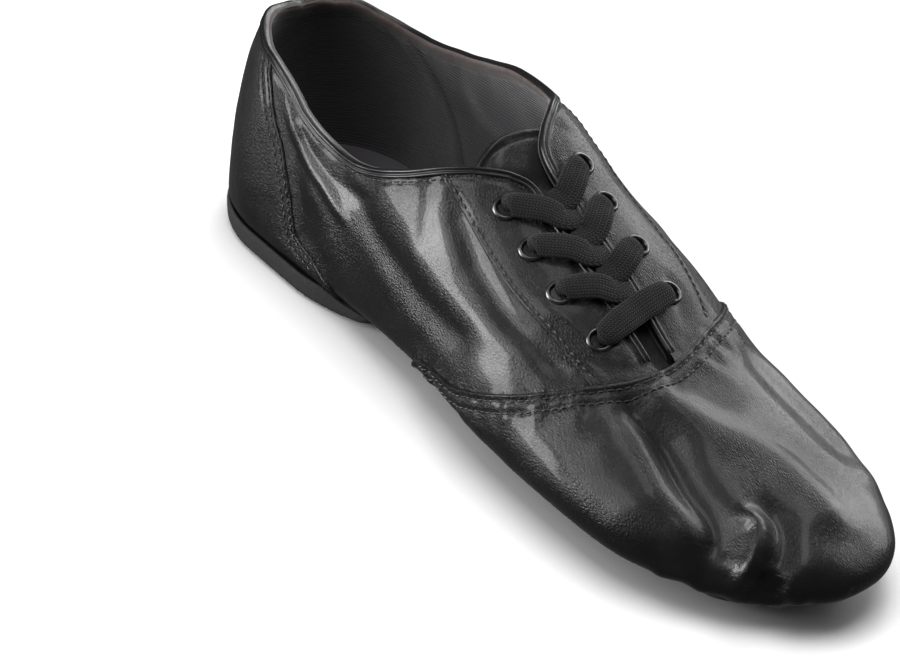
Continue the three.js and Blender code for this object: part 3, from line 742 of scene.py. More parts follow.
def make_tape():
    finish = Finish("collar_tape", 0.9, Sheen_Weight=0.2)
    finish.colours(finish.noise(2, 3), (0.014, 0.009, 0.008), (0.030, 0.019, 0.016))
    finish.bump(finish.cells(0.6), 0.15, 0.8)
    return finish.material


def make_suede():
    finish = Finish("black_suede", 0.96, Specular_IOR_Level=0.2, Sheen_Weight=0.1)
    finish.colours(finish.noise(1.2, 6, 0.7), (0.006, 0.006, 0.0065), (0.020, 0.020, 0.021), 0.3, 0.75)
    finish.bump(finish.noise(0.45, 5, 0.7), 0.35, 0.9)
    finish.bump(finish.noise(3.5, 3), 0.3, 0.4)
    return finish.material


def make_heel_rubber():
    finish = Finish("matt_heel_rubber", 0.9, Specular_IOR_Level=0.15)
    finish.colours(finish.noise(0.9, 5, 0.7), (0.011, 0.0105, 0.0105), (0.022, 0.021, 0.021))
    finish.bump(finish.noise(0.35, 4, 0.6), 0.10, 0.7)
    return finish.material


def make_eyelet_metal():
    finish = Finish("dark_metal", 0.28, Metallic=1.0)
    finish.colours(finish.noise(1.5, 3), (0.06, 0.06, 0.063), (0.12, 0.12, 0.125))
    finish.bump(finish.noise(0.6, 3), 0.03, 0.5)
    return finish.material


def make_thread():
    finish = Finish("black_thread", 0.36)
    finish.colours(finish.noise(3, 2), (0.008, 0.008, 0.009), (0.020, 0.020, 0.021))
    finish.bump(finish.noise(0.18, 2), 0.05)
    return finish.material


def make_lace_weave():
    """A flat braid: columns of slanting strands, each leaning the other way from the next, with painted shade
    where the strands dip and in the gaps between them.
    """
    finish = Finish("woven_lace", 0.9, Specular_IOR_Level=0.2, Sheen_Weight=0.05)
    uv = finish.node("ShaderNodeUVMap", {"uv_map": "lace"}).outputs["UV"]
    axes = finish.node("ShaderNodeSeparateXYZ", Vector=uv)
    along, across = axes.outputs["X"], axes.outputs["Y"]
    share = finish.math("PINGPONG", finish.math("DIVIDE", across, STRAND), 1.0)
    slant = finish.math("ADD", finish.math("DIVIDE", along, STRAND), finish.math("MULTIPLY", share, 0.8))
    strand = finish.math("SINE", finish.math("MULTIPLY", slant, math.tau))
    gap = finish.math("SINE", finish.math("MULTIPLY", share, math.pi))
    height = finish.math("MULTIPLY", finish.math("MULTIPLY_ADD", strand, 0.5, 0.5), gap)
    # The weave's colour follows its height, darker where strands dip and between them: painted shade.
    finish.colours(height, (0.002, 0.002, 0.002), (0.010, 0.010, 0.010), 0.1, 0.9)
    finish.bump(height, 0.22)
    finish.bump(finish.noise(0.25, 2), 0.08, 0.7)
    return finish.material


leather = make_leather()
lining = make_lining()
tape = make_tape()
suede = make_suede()
heel_rubber = make_heel_rubber()
eyelet_metal = make_eyelet_metal()
thread = make_thread()
lace_weave = make_lace_weave()


# Panels of the upper

# Where the counter's seam meets the collar, how far panels reach under others, and where the throat ends
COUNTER_START = 0.083
UNDER_VAMP, UNDER_COUNTER = 0.014, -0.013
THROAT_END, QUARTER_END, STAY_END, STAY_FRONT = 0.69, 0.706, 0.722, 0.718
THROAT_AROUND, STAY_AROUND = 5.0, 20.0
KEPT_STEP = 8


def rows_of(rows, start, end):
    """The rows from along start to along end, with more rows between them."""
    run = smooth_rows(rows)
    run[:, 0] /= LENGTH
    first = np.argmax(run[:, 0] >= start)
    last = len(run) - 1 - np.argmax(run[::-1, 0] <= end)
    return [tuple(row) for row in np.vstack([run[first:last + 1:KEPT_STEP], run[last:last + 1]])]


def moved(rows, along):
    return [(row[0] + along, row[1]) for row in rows]


def vamp_half(sign):
    """The vamp's edge from beside the throat down one side to the middle of the sole."""
    return [row for row in VAMP_EDGE if row[1] * sign > 10][::sign]


def quarter(name, sign, collar, counter):
    top = rows_of(collar, COUNTER_START, THROAT_END) + [(QUARTER_END, sign * THROAT_AROUND)]
    top = moved(top[:1], UNDER_COUNTER) + top
    front = [(QUARTER_END, sign * THROAT_AROUND)] + moved(vamp_half(sign), UNDER_VAMP)
    under = [(0.276, sign * 123.0), (0.292, sign * 140.0), (0.300, sign * 180.0)]
    back = top[:1] + moved(counter[1:] + under, UNDER_COUNTER)
    points = on_skin(net(top, [back[-1], front[-1]], back, front, ()))
    return points, sheet_of(name, points, 0.0)


def eyestay(name, sign, collar, seam_rows):
    top = rows_of(collar, seam_rows[0][0], THROAT_END) + [(STAY_END, sign * THROAT_AROUND)]
    front = [top[-1], (STAY_FRONT, sign * STAY_AROUND), *moved(seam_rows[-1:], UNDER_VAMP)]
    bottom = seam_rows[:-1] + [front[-1]]
    points = on_skin(net(top, bottom, [top[0], bottom[0]], front, ("bottom",)))
    return sheet_of(name, points, LEATHER, folded=("bottom",))


VAMP_REACH = 110
VAMP_COLUMNS = 330
VAMP_FOLD, VAMP_BEAD = 1.1, 0.4


def vamp_net(spacing, columns):
    """Points of the vamp on the skin, from its edge to the toe, in lines that close around it."""
    edge = on_last(VAMP_EDGE, 2400)
    around = np.linspace(-180, 180, columns, endpoint=False)
    starts = np.interp(around, edge[:, 1], edge[:, 0])
    share = 1 - (1 - np.linspace(0, 1, 400)) ** 2.2
    lines = []
    for start, angle in zip(starts, around):
        x = start + (LENGTH - 0.01 - start) * share
        lines.append(evenly(skin(x, np.full_like(x, angle)), count=max(int(VAMP_REACH / spacing), 20)))
    return np.stack(lines, 1)


def make_vamp():
    flat = vamp_net(NET_SPACING, VAMP_COLUMNS)
    first = flat[:1] + (flat[1:2] - flat[:1]) * np.array([0.15, 0.4, 0.7])[:, None, None]
    flat = np.concatenate([flat[:1], first, flat[1:]])
    normals = outward(flat)
    edge = from_border(flat, "top")
    height = relief(flat) + VAMP_STEP + VAMP_BEAD * bell(edge - 0.9, 0.8) - rolled(edge, VAMP_FOLD)
    points, normals = tuck(flat + normals * height[..., None], normals, "top")
    rows, columns = points.shape[:2]
    away = facing_away(points, normals)
    faces = grid_faces(rows, columns, closed=True, turned=away) + fan(rows - 1, columns, rows * columns, away)
    points = np.vstack([points.reshape(-1, 3), points[-1].mean(0)])
    piece = mesh_of("vamp_leather", points, faces, leather)
    mark_crinkles(piece, points)
    return piece


# Height at which the counter goes under the sole's lip, and a point inside the heel that rays start from
COUNTER_LOW = 6.25
HEEL_CENTRE = 36.0


def counter_side(rows, sign):
    """The counter's seam on one side, from the collar down to the sole's lip."""
    under = [(0.276, sign * 123.0), (0.290, sign * 138.0), (0.298, sign * 160.0)]
    path = trace(rows + under, spacing=0.5)
    return path[path[:, 2] > COUNTER_LOW]


def heel_net():
    """Points of the heel counter on the skin, from the collar down to the sole."""
    lateral, medial = counter_side(COUNTER_LATERAL, -1), counter_side(COUNTER_MEDIAL, 1)
    tops = [trace(rows_of(rows, 0, COUNTER_START), spacing=0.5) for rows in (COLLAR_LATERAL, COLLAR_MEDIAL)]
    top = np.vstack([tops[0][::-1], tops[1][1:]])
    centre = np.array([HEEL_CENTRE, 0.0, COUNTER_LOW])
    ends = [math.atan2(point[1], centre[0] - point[0]) for point in (lateral[-1], medial[-1])]
    turn = np.linspace(ends[0], ends[1], 300)
    bottom = cast(centre, centre + 100 * np.stack([-np.cos(turn), np.sin(turn), np.zeros_like(turn)], -1))
    columns = shares(reach_of(top)[-1], NET_SPACING, True, True)
    lines = shares(78, NET_SPACING)
    sides = [
        read_run(at, np.linspace(0, 1, 800), evenly(run, count=800))
        for run, at in ((top, columns), (bottom, columns), (lateral, lines), (medial, lines))
    ]
    patch = between(*sides, columns, lines)
    start = np.stack([np.full(patch.shape[:2], 38.0), np.zeros(patch.shape[:2]), 6 + patch[..., 2] * 0.8], -1)
    return cast(start, patch)


quarter_lateral_net, quarter_lateral = quarter("quarter_lateral", -1, COLLAR_LATERAL, COUNTER_LATERAL)
quarter_medial_net, quarter_medial = quarter("quarter_medial", 1, COLLAR_MEDIAL, COUNTER_MEDIAL)
stay_lateral = eyestay("eyestay_leather_lateral", -1, COLLAR_LATERAL, EYESTAY_LATERAL)
stay_medial = eyestay("eyestay_leather_medial", 1, COLLAR_MEDIAL, EYESTAY_MEDIAL)
vamp = make_vamp()
counter_net = heel_net()
counter = sheet_of("counter_leather", counter_net, LEATHER, folded=("back", "front"))


# Lining, binding, tongue and insole

def lining_of(name, flat, depth):
    """The inner face of a panel: every second line of its net, turned to look into the shoe."""
    rows, columns = (np.unique(np.append(np.arange(0, size, 2), size - 1)) for size in flat.shape[:2])
    return sheet_of(name, flat[np.ix_(rows, columns)], -depth, outer=False)


def closed_outwards(piece, doubled=False):
    """Faces of a closed piece made to look outwards, after its doubled points are merged."""
    shape = bmesh.new()
    shape.from_mesh(piece.data)
    if doubled:
        bmesh.ops.remove_doubles(shape, verts=shape.verts, dist=1e-6)
    bmesh.ops.recalc_face_normals(shape, faces=shape.faces)
    shape.to_mesh(piece.data)
    shape.free()
    return piece


def slab(name, top, bottom, finish):
    """A closed piece between two nets of points of the same size."""
    rows, columns = top.shape[:2]
    rings = np.concatenate([top, bottom[:, ::-1]], 1)
    faces = grid_faces(rows, 2 * columns, closed=True)
    for row in (0, rows - 1):
        start = row * 2 * columns
        for j in range(columns - 1):
            far = 2 * columns - 1 - j
            faces.append((start + j, start + j + 1, start + far - 1, start + far))
    return closed_outwards(mesh_of(name, rings, faces, finish))


# The binding and the tape in section: (up towards the opening, out of the leather)
BINDING = [
    (-2.0, -0.4), (-2.05, 0.6), (-1.9, 1.0), (-1.55, 1.15), (-1.25, 1.05), (-1.0, 0.75), (-0.8, 0.75),
    (-0.6, 1.05), (-0.25, 1.25), (0.1, 1.2), (0.4, 0.9), (0.55, 0.4), (0.55, -0.3), (0.45, -0.9),
    (0.2, -1.3), (-0.6, -1.6),
]
TAPE = [
    (0.45, -0.7), (0.5, -1.2), (0.25, -1.8), (-0.4, -2.05), (-1.4, -2.1), (-2.4, -2.1), (-3.3, -2.05),
    (-3.7, -1.9), (-3.8, -1.3),
]


COLLAR_SPACING = 0.7
DIP_START, DIP_LENGTH, DIP_DEPTH = 0.688, 0.014, 2.4


def collar_frames():
    """Places along the collar's edge with the way out of the leather and the way up to the opening."""
    run = on_last([(STAY_END, -THROAT_AROUND)] + COLLAR + [(STAY_END, THROAT_AROUND)], 3000)
    path = evenly(on_skin(run), spacing=COLLAR_SPACING)
    normal = outward(path)
    dip = eased(np.clip((path[:, 0] / LENGTH - DIP_START) / DIP_LENGTH, 0, 1))
    height = np.convolve(np.pad(relief(path), 4, mode="edge"), np.ones(9) / 9, "valid")
    path = path + normal * (height - DIP_DEPTH * dip)[:, None]
    ahead = smoothed(along_of(path), 2)
    normal = smoothed(normal, 2)
    return path, normal, unit(np.cross(ahead, normal))


def smoothed(vectors, reach):
    """Running mean of vectors along a path."""
    kernel = np.ones(2 * reach + 1) / (2 * reach + 1)
    padded = np.pad(vectors, ((reach, reach), (0, 0)), mode="edge")
    return unit(np.stack([np.convolve(padded[:, k], kernel, "valid") for k in range(3)], -1))


def swept(name, profile, finish):
    path, normal, up = collar_frames()
    profile = evenly(np.array(profile), spacing=0.33)
    rings = np.stack([path + up * s + normal * n for s, n in profile], 0)
    middle = normal[None] * np.array([n for _, n in profile])[:, None, None]
    away = facing_away(rings, middle + up[None] * 0.2)
    return mesh_of(name, rings, grid_faces(*rings.shape[:2], turned=away), finish)


TONGUE_RISE, TONGUE_THICKNESS = -1.9, 1.7
TONGUE_BACK, TONGUE_FRONT = 0.41 * LENGTH, 0.71 * LENGTH
TONGUE_SIDE, TONGUE_ROUND = 21, 12
TONGUE_COLUMNS = 57
INSOLE_RISE, INSOLE_THICKNESS, INSOLE_SHORT = -2.2, 1.6, 16
INSOLE_LINES, INSOLE_COLUMNS = 110, 61


def make_tongue():
    side = np.sin(np.linspace(-math.pi / 2, math.pi / 2, TONGUE_COLUMNS))
    back = TONGUE_BACK + TONGUE_ROUND * (1 - np.sqrt(1 - side**2 * 0.98))
    share = shares(TONGUE_FRONT - TONGUE_BACK, 0.85, fine_start=True)
    x = back[None] + (TONGUE_FRONT - back[None]) * share[:, None]
    y = np.broadcast_to(side[None] * TONGUE_SIDE, x.shape)
    around = np.empty_like(x)
    angles = np.linspace(-89.9, 89.9, 400)
    for place in np.ndindex(x.shape):
        line = skin(np.full_like(angles, x[place]), angles, TONGUE_RISE)
        around[place] = np.interp(y[place], line[:, 1], angles)
    flat = skin(x, around, TONGUE_RISE)
    normals = outward(flat, TONGUE_RISE)
    edge = np.minimum(from_border(flat, "top"), TONGUE_SIDE - np.abs(y))
    height = 0.35 * bell(edge - 1.2, 0.9) - 0.4 * bell(edge - 3.0, 0.7)
    height += 0.25 * lumps(flat, 8, 12) + 0.10 * lumps(flat, 9, 4) - 0.15
    fold = rolled(edge, FOLD)
    top = flat + normals * (height - fold)[..., None]
    bottom = flat - normals * (TONGUE_THICKNESS - fold)[..., None]
    return slab("tongue_leather", top, bottom, leather)


def make_insole():
    x = 2.0 + (LENGTH - INSOLE_SHORT) * (1 - np.cos(np.linspace(0, math.pi, INSOLE_LINES))) / 2
    section = section_at(x, INSOLE_RISE)
    power = section.powers[2]
    level = skin(np.clip(x, HEEL_LEAN, LENGTH - TOE_DROP), 180.0, INSOLE_RISE)[:, 2] + 2.5
    side = np.sin(np.linspace(-math.pi / 2, math.pi / 2, INSOLE_COLUMNS))
    drop = np.clip((section.middle - level) / np.maximum(section.below, 0.5), 0, 1)
    narrow = np.clip(1 - drop**power, 0.02, 1) ** (1 / power)
    half = np.where(side[None] < 0, section.near[:, None], section.far[:, None]) * narrow[:, None] * 0.985
    y = section.centre[:, None] + half * side[None]
    dish = 0.5 * side[None] ** 4
    top = np.stack([np.broadcast_to(x[:, None], y.shape), y, level[:, None] + dish - 0.3], -1)
    return slab("insole_cloth", top, top - (0, 0, INSOLE_THICKNESS), lining)


quarter_linings = [
    lining_of("lining_lateral", quarter_lateral_net, 1.5),
    lining_of("lining_medial", quarter_medial_net, 1.5),
]
heel_lining = lining_of("lining_heel", counter_net, 1.75)
vamp_flat = vamp_net(3.0, 90)
vamp_flat = np.concatenate([vamp_flat, vamp_flat[:, :1]], 1)
vamp_lining = sheet_of("lining_vamp", vamp_flat, -1.5, outer=False)
binding = swept("collar_binding", BINDING, leather)
collar_tape = swept("collar_inner_tape", TAPE, tape)
tongue = make_tongue()
insole = make_insole()


# Heel sole and the two suede pads

HEEL_SOLE_LENGTH, HEEL_SOLE_TAPER = 86, 22
HEEL_SOLE_THICKNESS, HEEL_SOLE_NOSE = 5.1, 0.9
HEEL_SOLE_TOP = 5.2
DRAWN_FROM, DRAWN_LENGTH, DRAWN_SHARE = 53, 33, 0.2
FRONT_ROUNDING = 9
LIP_END = 0.4
# The heel sole's side in section: (outwards, up)
HEEL_PROFILE = [
    (-4.0, 0.0), (-1.6, 0.0), (-0.7, 0.15), (-0.1, 0.7), (0.35, 2.0), (0.6, 3.6), (0.75, 5.5), (0.7, 6.6),
    (0.35, 7.0), (-0.2, 6.95), (-0.5, 6.5), (-0.9, 5.6), (-4.0, 5.2),
]
PAD_TOP, PAD_LOW = VAMP_STEP + 0.2, VAMP_STEP + 2.9
BALL_PAD = {"along": 0.73, "across": 0.01, "length": 72, "width": 63}
TOE_PAD = {"along": 0.915, "across": 0.055, "length": 15, "width": 46, "bow": 8}
PAD_ROWS = (3.6, 7.2)
TOE_PAD_ROWS = (2.5,)


def heel_outline(grow, count=160):
    """The heel sole in plan, all round: the last's widest line, drawn in to a rounded front."""
    x = HEEL_SOLE_LENGTH * (1 - np.cos(np.linspace(0, math.pi / 2, count)))
    section = section_at(np.clip(x, END_GAP, None), 0.0)
    drawn = 1 - DRAWN_SHARE * eased(np.clip((x - DRAWN_FROM) / DRAWN_LENGTH, 0, 1))
    front = rounded_end(HEEL_SOLE_LENGTH - x, FRONT_ROUNDING, 2.4)
    lateral = np.stack([x, -section.near * drawn * front], -1)
    medial = np.stack([x, section.far * drawn * front], -1)
    lateral[0] = medial[0] = (0, 0)
    loop = evenly(np.vstack([lateral, medial[-2::-1]]), count=361)[:-1]
    return loop + grow * unit(loop - (HEEL_SOLE_LENGTH / 2, 0))


def capped(name, rings, middles, finish):
    """A closed piece over rings of points, with a fan to a middle point at each end."""
    rows, columns = rings.shape[:2]
    points = np.vstack([rings.reshape(-1, 3), *middles])
    faces = grid_faces(rows, columns, closed=True)
    faces += fan(0, columns, rows * columns) + fan(rows - 1, columns, rows * columns + 1)
    return closed_outwards(mesh_of(name, points, faces, finish))


def make_heel_sole():
    rings = []
    for grow, z in evenly(np.array(HEEL_PROFILE), spacing=0.45):
        loop = heel_outline(grow)
        t = np.clip((loop[:, 0] - (HEEL_SOLE_LENGTH - HEEL_SOLE_TAPER)) / HEEL_SOLE_TAPER, 0, 1)
        lift = (HEEL_SOLE_THICKNESS - HEEL_SOLE_NOSE) * t * t
        lip = max(z - HEEL_SOLE_TOP, 0) * np.clip(1 - t / LIP_END, 0, 1)
        height = lift + (min(z, HEEL_SOLE_TOP) + lip) * (1 - lift / HEEL_SOLE_THICKNESS)
        rings.append(np.column_stack([loop, height]))
    rings = np.array(rings)
    middles = [(*ring.mean(0)[:2], ring[0, 2]) for ring in rings[[0, -1]]]
    return capped("heel_sole_rubber", rings, middles, heel_rubber)


def under_last(x, y, rise):
    """Height of the last's underside at places in plan."""
    section = section_at(x, rise)
    power = section.powers[2]
    half = np.where(y < section.centre, section.near, section.far)
    inside = np.clip(1 - np.minimum(np.abs(y - section.centre) / half, 0.995) ** power, 0, 1)
    return section.middle - section.below * inside ** (1 / power)


def pad_of(name, loop, centre, rows):
    """A suede pad under the leather, from its outline in plan, with lines of stitches sunk in it."""
    reach = np.linalg.norm(loop - centre, axis=1)
    share = shares(reach.mean(), 0.8, fine_end=True)
    x, y = np.moveaxis(centre + (loop - centre)[None] * share[:, None, None], -1, 0)
    inner = under_last(x, y, PAD_TOP)
    edge = (1 - share)[:, None] * reach[None]
    low = np.maximum(under_last(x, y, PAD_LOW), 0.25)
    for row in rows:
        low = low + 0.45 * bell(edge - row, 0.7)
    low = np.minimum(low + rolled(edge, 0.9), inner - 0.2)
    under = np.stack([x, y, low], -1)[1:]
    over = np.stack([x, y, np.maximum(inner, low + 0.1)], -1)[1:]
    rings = np.concatenate([under, over[::-1]], 0)
    return capped(name, rings, rings[[0, -1]].mean(1), suede), edge, under


def oval_outline(along, across, length, width, count=240):
    turn = np.linspace(0, math.tau, count, endpoint=False)
    x = along * LENGTH + length / 2 * np.cos(turn)
    return np.stack([x, across * BALL_WIDTH + width / 2 * np.sin(turn)], -1)


def crescent_outline(along, across, length, width, bow, count=160):
    turn = np.linspace(-math.pi / 2, math.pi / 2, count // 2)
    side = np.sin(turn)
    full = np.cos(turn) ** 0.6
    x = along * LENGTH - bow * side * side
    y = across * BALL_WIDTH + width / 2 * side
    front = np.stack([x + length / 2 * full, y], -1)
    back = np.stack([x - length / 2 * full, y], -1)[-2:0:-1]
    return evenly(np.vstack([front, back, front[:1]]), count=count + 1)[:-1]


def pad_row(under, edge, distance):
    """The line on a pad's face at a distance from its edge, and the way out of it."""
    columns = [*range(under.shape[1]), 0]
    line = np.array([[np.interp(-distance, -edge[1:, j], under[:, j, k]) for k in range(3)] for j in columns])
    return line, np.broadcast_to((0.0, 0.0, -1.0), line.shape)


heel_sole = make_heel_sole()
ball_middle = np.array([BALL_PAD["along"] * LENGTH, BALL_PAD["across"] * BALL_WIDTH])
ball_pad, ball_edge, ball_face = pad_of("ball_suede", oval_outline(**BALL_PAD), ball_middle, PAD_ROWS)
toe_loop = crescent_outline(**TOE_PAD)
toe_pad, toe_edge, toe_face = pad_of("toe_suede", toe_loop, toe_loop.mean(0), TOE_PAD_ROWS)


# Lace and eyelets

LACE_STARTS_LATERAL = (0.522, 0.570, 0.614)
LACE_STARTS_MEDIAL = (0.500, 0.548, 0.594)
LACE_RUNS = [*zip(LACE_STARTS_LATERAL, EYELETS_LATERAL), *zip(LACE_STARTS_MEDIAL, EYELETS_MEDIAL)]
OVER_STAY, OVER_FLANGE, IN_THROAT = 2.25, 2.7, 0.9
# An eyelet in section: (radius, height over the leather)
EYELET_PROFILE = [
    (2.3, -1.7), (2.3, 0.9), (2.45, 1.45), (2.8, 1.75), (3.25, 1.7), (3.6, 1.4), (3.7, 1.1), (3.5, 1.0),
    (2.75, 1.0), (2.75, -1.7),
]


def lace_rows(start, end):
    """A lace's way from the throat to an eyelet and down through it: (along, around, rise, width)."""
    along, around = end
    side = math.copysign(1, around)
    return [
        (start - 0.004, -side * 5, IN_THROAT - 0.6, 7.2),
        (start, -side * 2, IN_THROAT, LACE_WIDTH),
        (start + 0.001, side * 3, IN_THROAT + 0.7, LACE_WIDTH),
        (start + (along - start) * 0.35, side * 9, OVER_STAY + 0.4, LACE_WIDTH),
        (start + (along - start) * 0.75, around * 0.72, OVER_FLANGE + 0.1, LACE_WIDTH - 0.4),
        (along, around * 0.93, OVER_FLANGE - 0.1, 6.4),
        (along, around * 1.0, 0.9, 4.6),
        (along, around * 1.01, -1.6, 4.2),
    ]


def bar_rows():
    (along, around), (far_along, far_around) = EYELETS_LATERAL[3], EYELETS_MEDIAL[3]
    down = [(1.01, -1.6, 4.2), (1.0, 0.9, 4.6), (0.93, OVER_FLANGE - 0.1, 6.4)]
    over = [(0.25, -9, OVER_STAY + 0.4), (0.5, 0, OVER_STAY), (0.75, 9, OVER_STAY + 0.4)]
    return (
        [(along, around * share, rise, width) for share, rise, width in down]
        + [(along * (1 - share) + far_along * share, place, rise, LACE_WIDTH) for share, place, rise in over]
        + [(far_along, far_around * share, rise, width) for share, rise, width in down[::-1]]
    )


def ribbon(rows, spacing=0.3):
    """Points of one run of flat lace in rings, with its length and breadth for the weave."""
    table = np.array(rows, float)
    base = skin(table[:, 0] * LENGTH, table[:, 1])
    normals = outward(base)
    run = through(np.hstack([base + normals * table[:, 2:3], normals, table[:, 3:4]]), 40)
    reach = reach_of(run[:, :3])
    at = np.linspace(0, reach[-1], int(reach[-1] / spacing))
    run = read_run(at, reach, run)
    path, normal, width = run[:, :3], unit(run[:, 3:6]), run[:, 6:]
    way = along_of(path)
    side = unit(np.cross(way, normal))
    lift = unit(np.cross(side, way))
    turn = np.linspace(0, math.tau, 64, endpoint=False)
    across = np.sign(np.cos(turn)) * np.abs(np.cos(turn)) ** 0.45
    up = np.sign(np.sin(turn)) * np.abs(np.sin(turn)) ** 0.8
    arch = -(0.25 + 0.45 * (LACE_WIDTH - width)) * across[None] ** 2
    rings = (
        path[:, None]
        + side[:, None] * (width / 2 * across[None])[..., None]
        + lift[:, None] * (LACE_THICKNESS / 2 * up[None] + arch)[..., None]
    )
    return rings, np.stack(np.broadcast_arrays(at[:, None], LACE_WIDTH / 2 * across[None] + 10), -1) * LACE_UV


def make_lace():
    points, faces, uvs = [], [], []
    count = 0
    for rows in [lace_rows(*run) for run in LACE_RUNS] + [bar_rows()]:
        rings, uv = ribbon(rows)
        lines, columns = rings.shape[:2]
        faces += grid_faces(lines, columns, closed=True, start=count)
        faces += [tuple(range(start, start + columns)) for start in (count, count + (lines - 1) * columns)]
        points.append(rings.reshape(-1, 3))
        uvs.append(uv.reshape(-1, 2))
        count += lines * columns
    piece = closed_outwards(mesh_of("woven_lace", np.vstack(points), faces, lace_weave))
    layer = piece.data.uv_layers.new(name="lace")
    corners = np.empty(len(piece.data.loops), int)
    piece.data.loops.foreach_get("vertex_index", corners)
    layer.data.foreach_set("uv", np.vstack(uvs)[corners].ravel())
    return piece


def make_eyelets():
    """Rolled metal eyelets through the facings."""
    profile = evenly(np.array(EYELET_PROFILE), spacing=0.2)
    turn = np.linspace(0, math.tau, 48, endpoint=False)
    pieces = []
    for side, places in (("lateral", EYELETS_LATERAL), ("medial", EYELETS_MEDIAL)):
        for k, (along, around) in enumerate(places):
            middle = skin(along * LENGTH, around)
            normal = outward(middle)
            middle = middle + normal * relief(middle)
            first = unit(np.cross(normal, (0, 0, 1.0)))
            second = np.cross(normal, first)
            ring = first * np.cos(turn)[:, None] + second * np.sin(turn)[:, None]
            rings = np.stack([middle + ring * r + normal * h for r, h in profile])
            rings = np.concatenate([rings, rings[:1]])
            faces = grid_faces(*rings.shape[:2], closed=True)
            piece = mesh_of(f"eyelet_ring_{side}_{k + 1}", rings, faces, eyelet_metal)
            closed_outwards(piece, doubled=True)
            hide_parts(f"eyelet_{side}_{k + 1}")
            pieces.append(piece)
    return pieces


lace = make_lace()
eyelets = make_eyelets()


# Stitches

STITCH_SIZES = {"Pitch": STITCH_PITCH, "Length": STITCH_LENGTH, "Width": STITCH_WIDTH}
STITCH_SUNK, STITCH_ARCH = 0.3, 0.62


def stitch_tree():
    """Lays a stitch at every step along the edges of a mesh, each flat on the leather."""
    tree = bpy.data.node_groups.new("stitch_row", "GeometryNodeTree")
    face = tree.interface
    face.new_socket("Rows", in_out="INPUT", socket_type="NodeSocketGeometry")
    for label in STITCH_SIZES:
        face.new_socket(label, in_out="INPUT", socket_type="NodeSocketFloat")
    face.new_socket("Thread", in_out="INPUT", socket_type="NodeSocketMaterial")
    face.new_socket("Stitches", in_out="OUTPUT", socket_type="NodeSocketGeometry")
    given = tree.nodes.new("NodeGroupInput").outputs

    curve = add_node(tree, "GeometryNodeMeshToCurve", Mesh=given["Rows"]).outputs["Curve"]
    steps = add_node(tree, "GeometryNodeResampleCurve", {"mode": "LENGTH"}, Curve=curve)
    join(tree, steps.inputs["Length"], given["Pitch"])
    facing = add_node(tree, "GeometryNodeInputNamedAttribute", {"data_type": "FLOAT_VECTOR"}, Name="facing")
    tangent = add_node(tree, "GeometryNodeInputTangent").outputs["Tangent"]
    turn = add_node(tree, "FunctionNodeAxesToRotation", {"primary_axis": "X", "secondary_axis": "Z"})
    join(tree, turn.inputs["Primary Axis"], tangent)
    join(tree, turn.inputs["Secondary Axis"], facing.outputs["Attribute"])

    half = add_math(tree, "MULTIPLY", given["Length"], 0.5)
    radius = add_math(tree, "MULTIPLY", given["Width"], 0.5)
    start, end = (
        add_node(
            tree, "ShaderNodeCombineXYZ", X=add_math(tree, "MULTIPLY", half, sign), Z=-STITCH_SUNK * MM
        ).outputs[0]
        for sign in (-1, 1)
    )
    top = (0, 0, STITCH_ARCH * MM)
    arc = add_node(tree, "GeometryNodeCurveQuadraticBezier", Resolution=4, Start=start, Middle=top, End=end)
    circle = add_node(tree, "GeometryNodeCurvePrimitiveCircle", Resolution=6, Radius=radius)
    strand = add_node(tree, "GeometryNodeCurveToMesh", Curve=arc.outputs["Curve"], Fill_Caps=True)
    join(tree, strand.inputs["Profile Curve"], circle.outputs["Curve"])
    laid = add_node(
        tree, "GeometryNodeInstanceOnPoints", Points=steps.outputs["Curve"], Instance=strand.outputs["Mesh"],
        Rotation=turn.outputs["Rotation"],
    )
    real = add_node(tree, "GeometryNodeRealizeInstances", Geometry=laid.outputs["Instances"])
    finish = add_node(
        tree, "GeometryNodeSetMaterial", Geometry=real.outputs["Geometry"], Material=given["Thread"]
    )
    join(tree, tree.nodes.new("NodeGroupOutput").inputs["Stitches"], finish.outputs["Geometry"])
    return tree


def make_stitches(name, rows):
    """One mesh of stitches along rows of (points, the way out of the leather at each)."""
    edges = []
    count = 0
    for row, _ in rows:
        edges += [(count + k, count + k + 1) for k in range(len(row) - 1)]
        count += len(row)
    mesh = bpy.data.meshes.new(name)
    mesh.from_pydata(placed(np.vstack([row for row, _ in rows])), edges, [])
    layer = mesh.attributes.new("facing", "FLOAT_VECTOR", "POINT")
    layer.data.foreach_set("vector", np.vstack([out for _, out in rows]).ravel())
    piece = linked(name, mesh)
    modifier = piece.modifiers.new("stitches", "NODES")
    modifier.node_group = stitches
    sockets = stitches.interface.items_tree
    for label, size in STITCH_SIZES.items():
        modifier[sockets[label].identifier] = size * MM
    modifier[sockets["Thread"].identifier] = thread
    bpy.context.view_layer.update()
    made = bpy.data.meshes.new_from_object(piece.evaluated_get(bpy.context.evaluated_depsgraph_get()))
    piece.modifiers.remove(modifier)
    piece.data = made
    made.polygons.foreach_set("use_smooth", [True] * len(made.polygons))
    return piece


def on_leather(path, rise):
    """A run of points laid on a panel, and the way out of the leather at each."""
    normals = outward(path)
    return path + normals * (relief(path) + rise + 0.1)[:, None], normals


stitches = stitch_tree()
upper_stitches = make_stitches("upper_stitches", [on_leather(path, rise) for path, rise in STITCHED])
pad_stitches = make_stitches(
    "pad_stitches",
    [pad_row(ball_face, ball_edge, row) for row in PAD_ROWS]
    + [pad_row(toe_face, toe_edge, row) for row in TOE_PAD_ROWS],
)


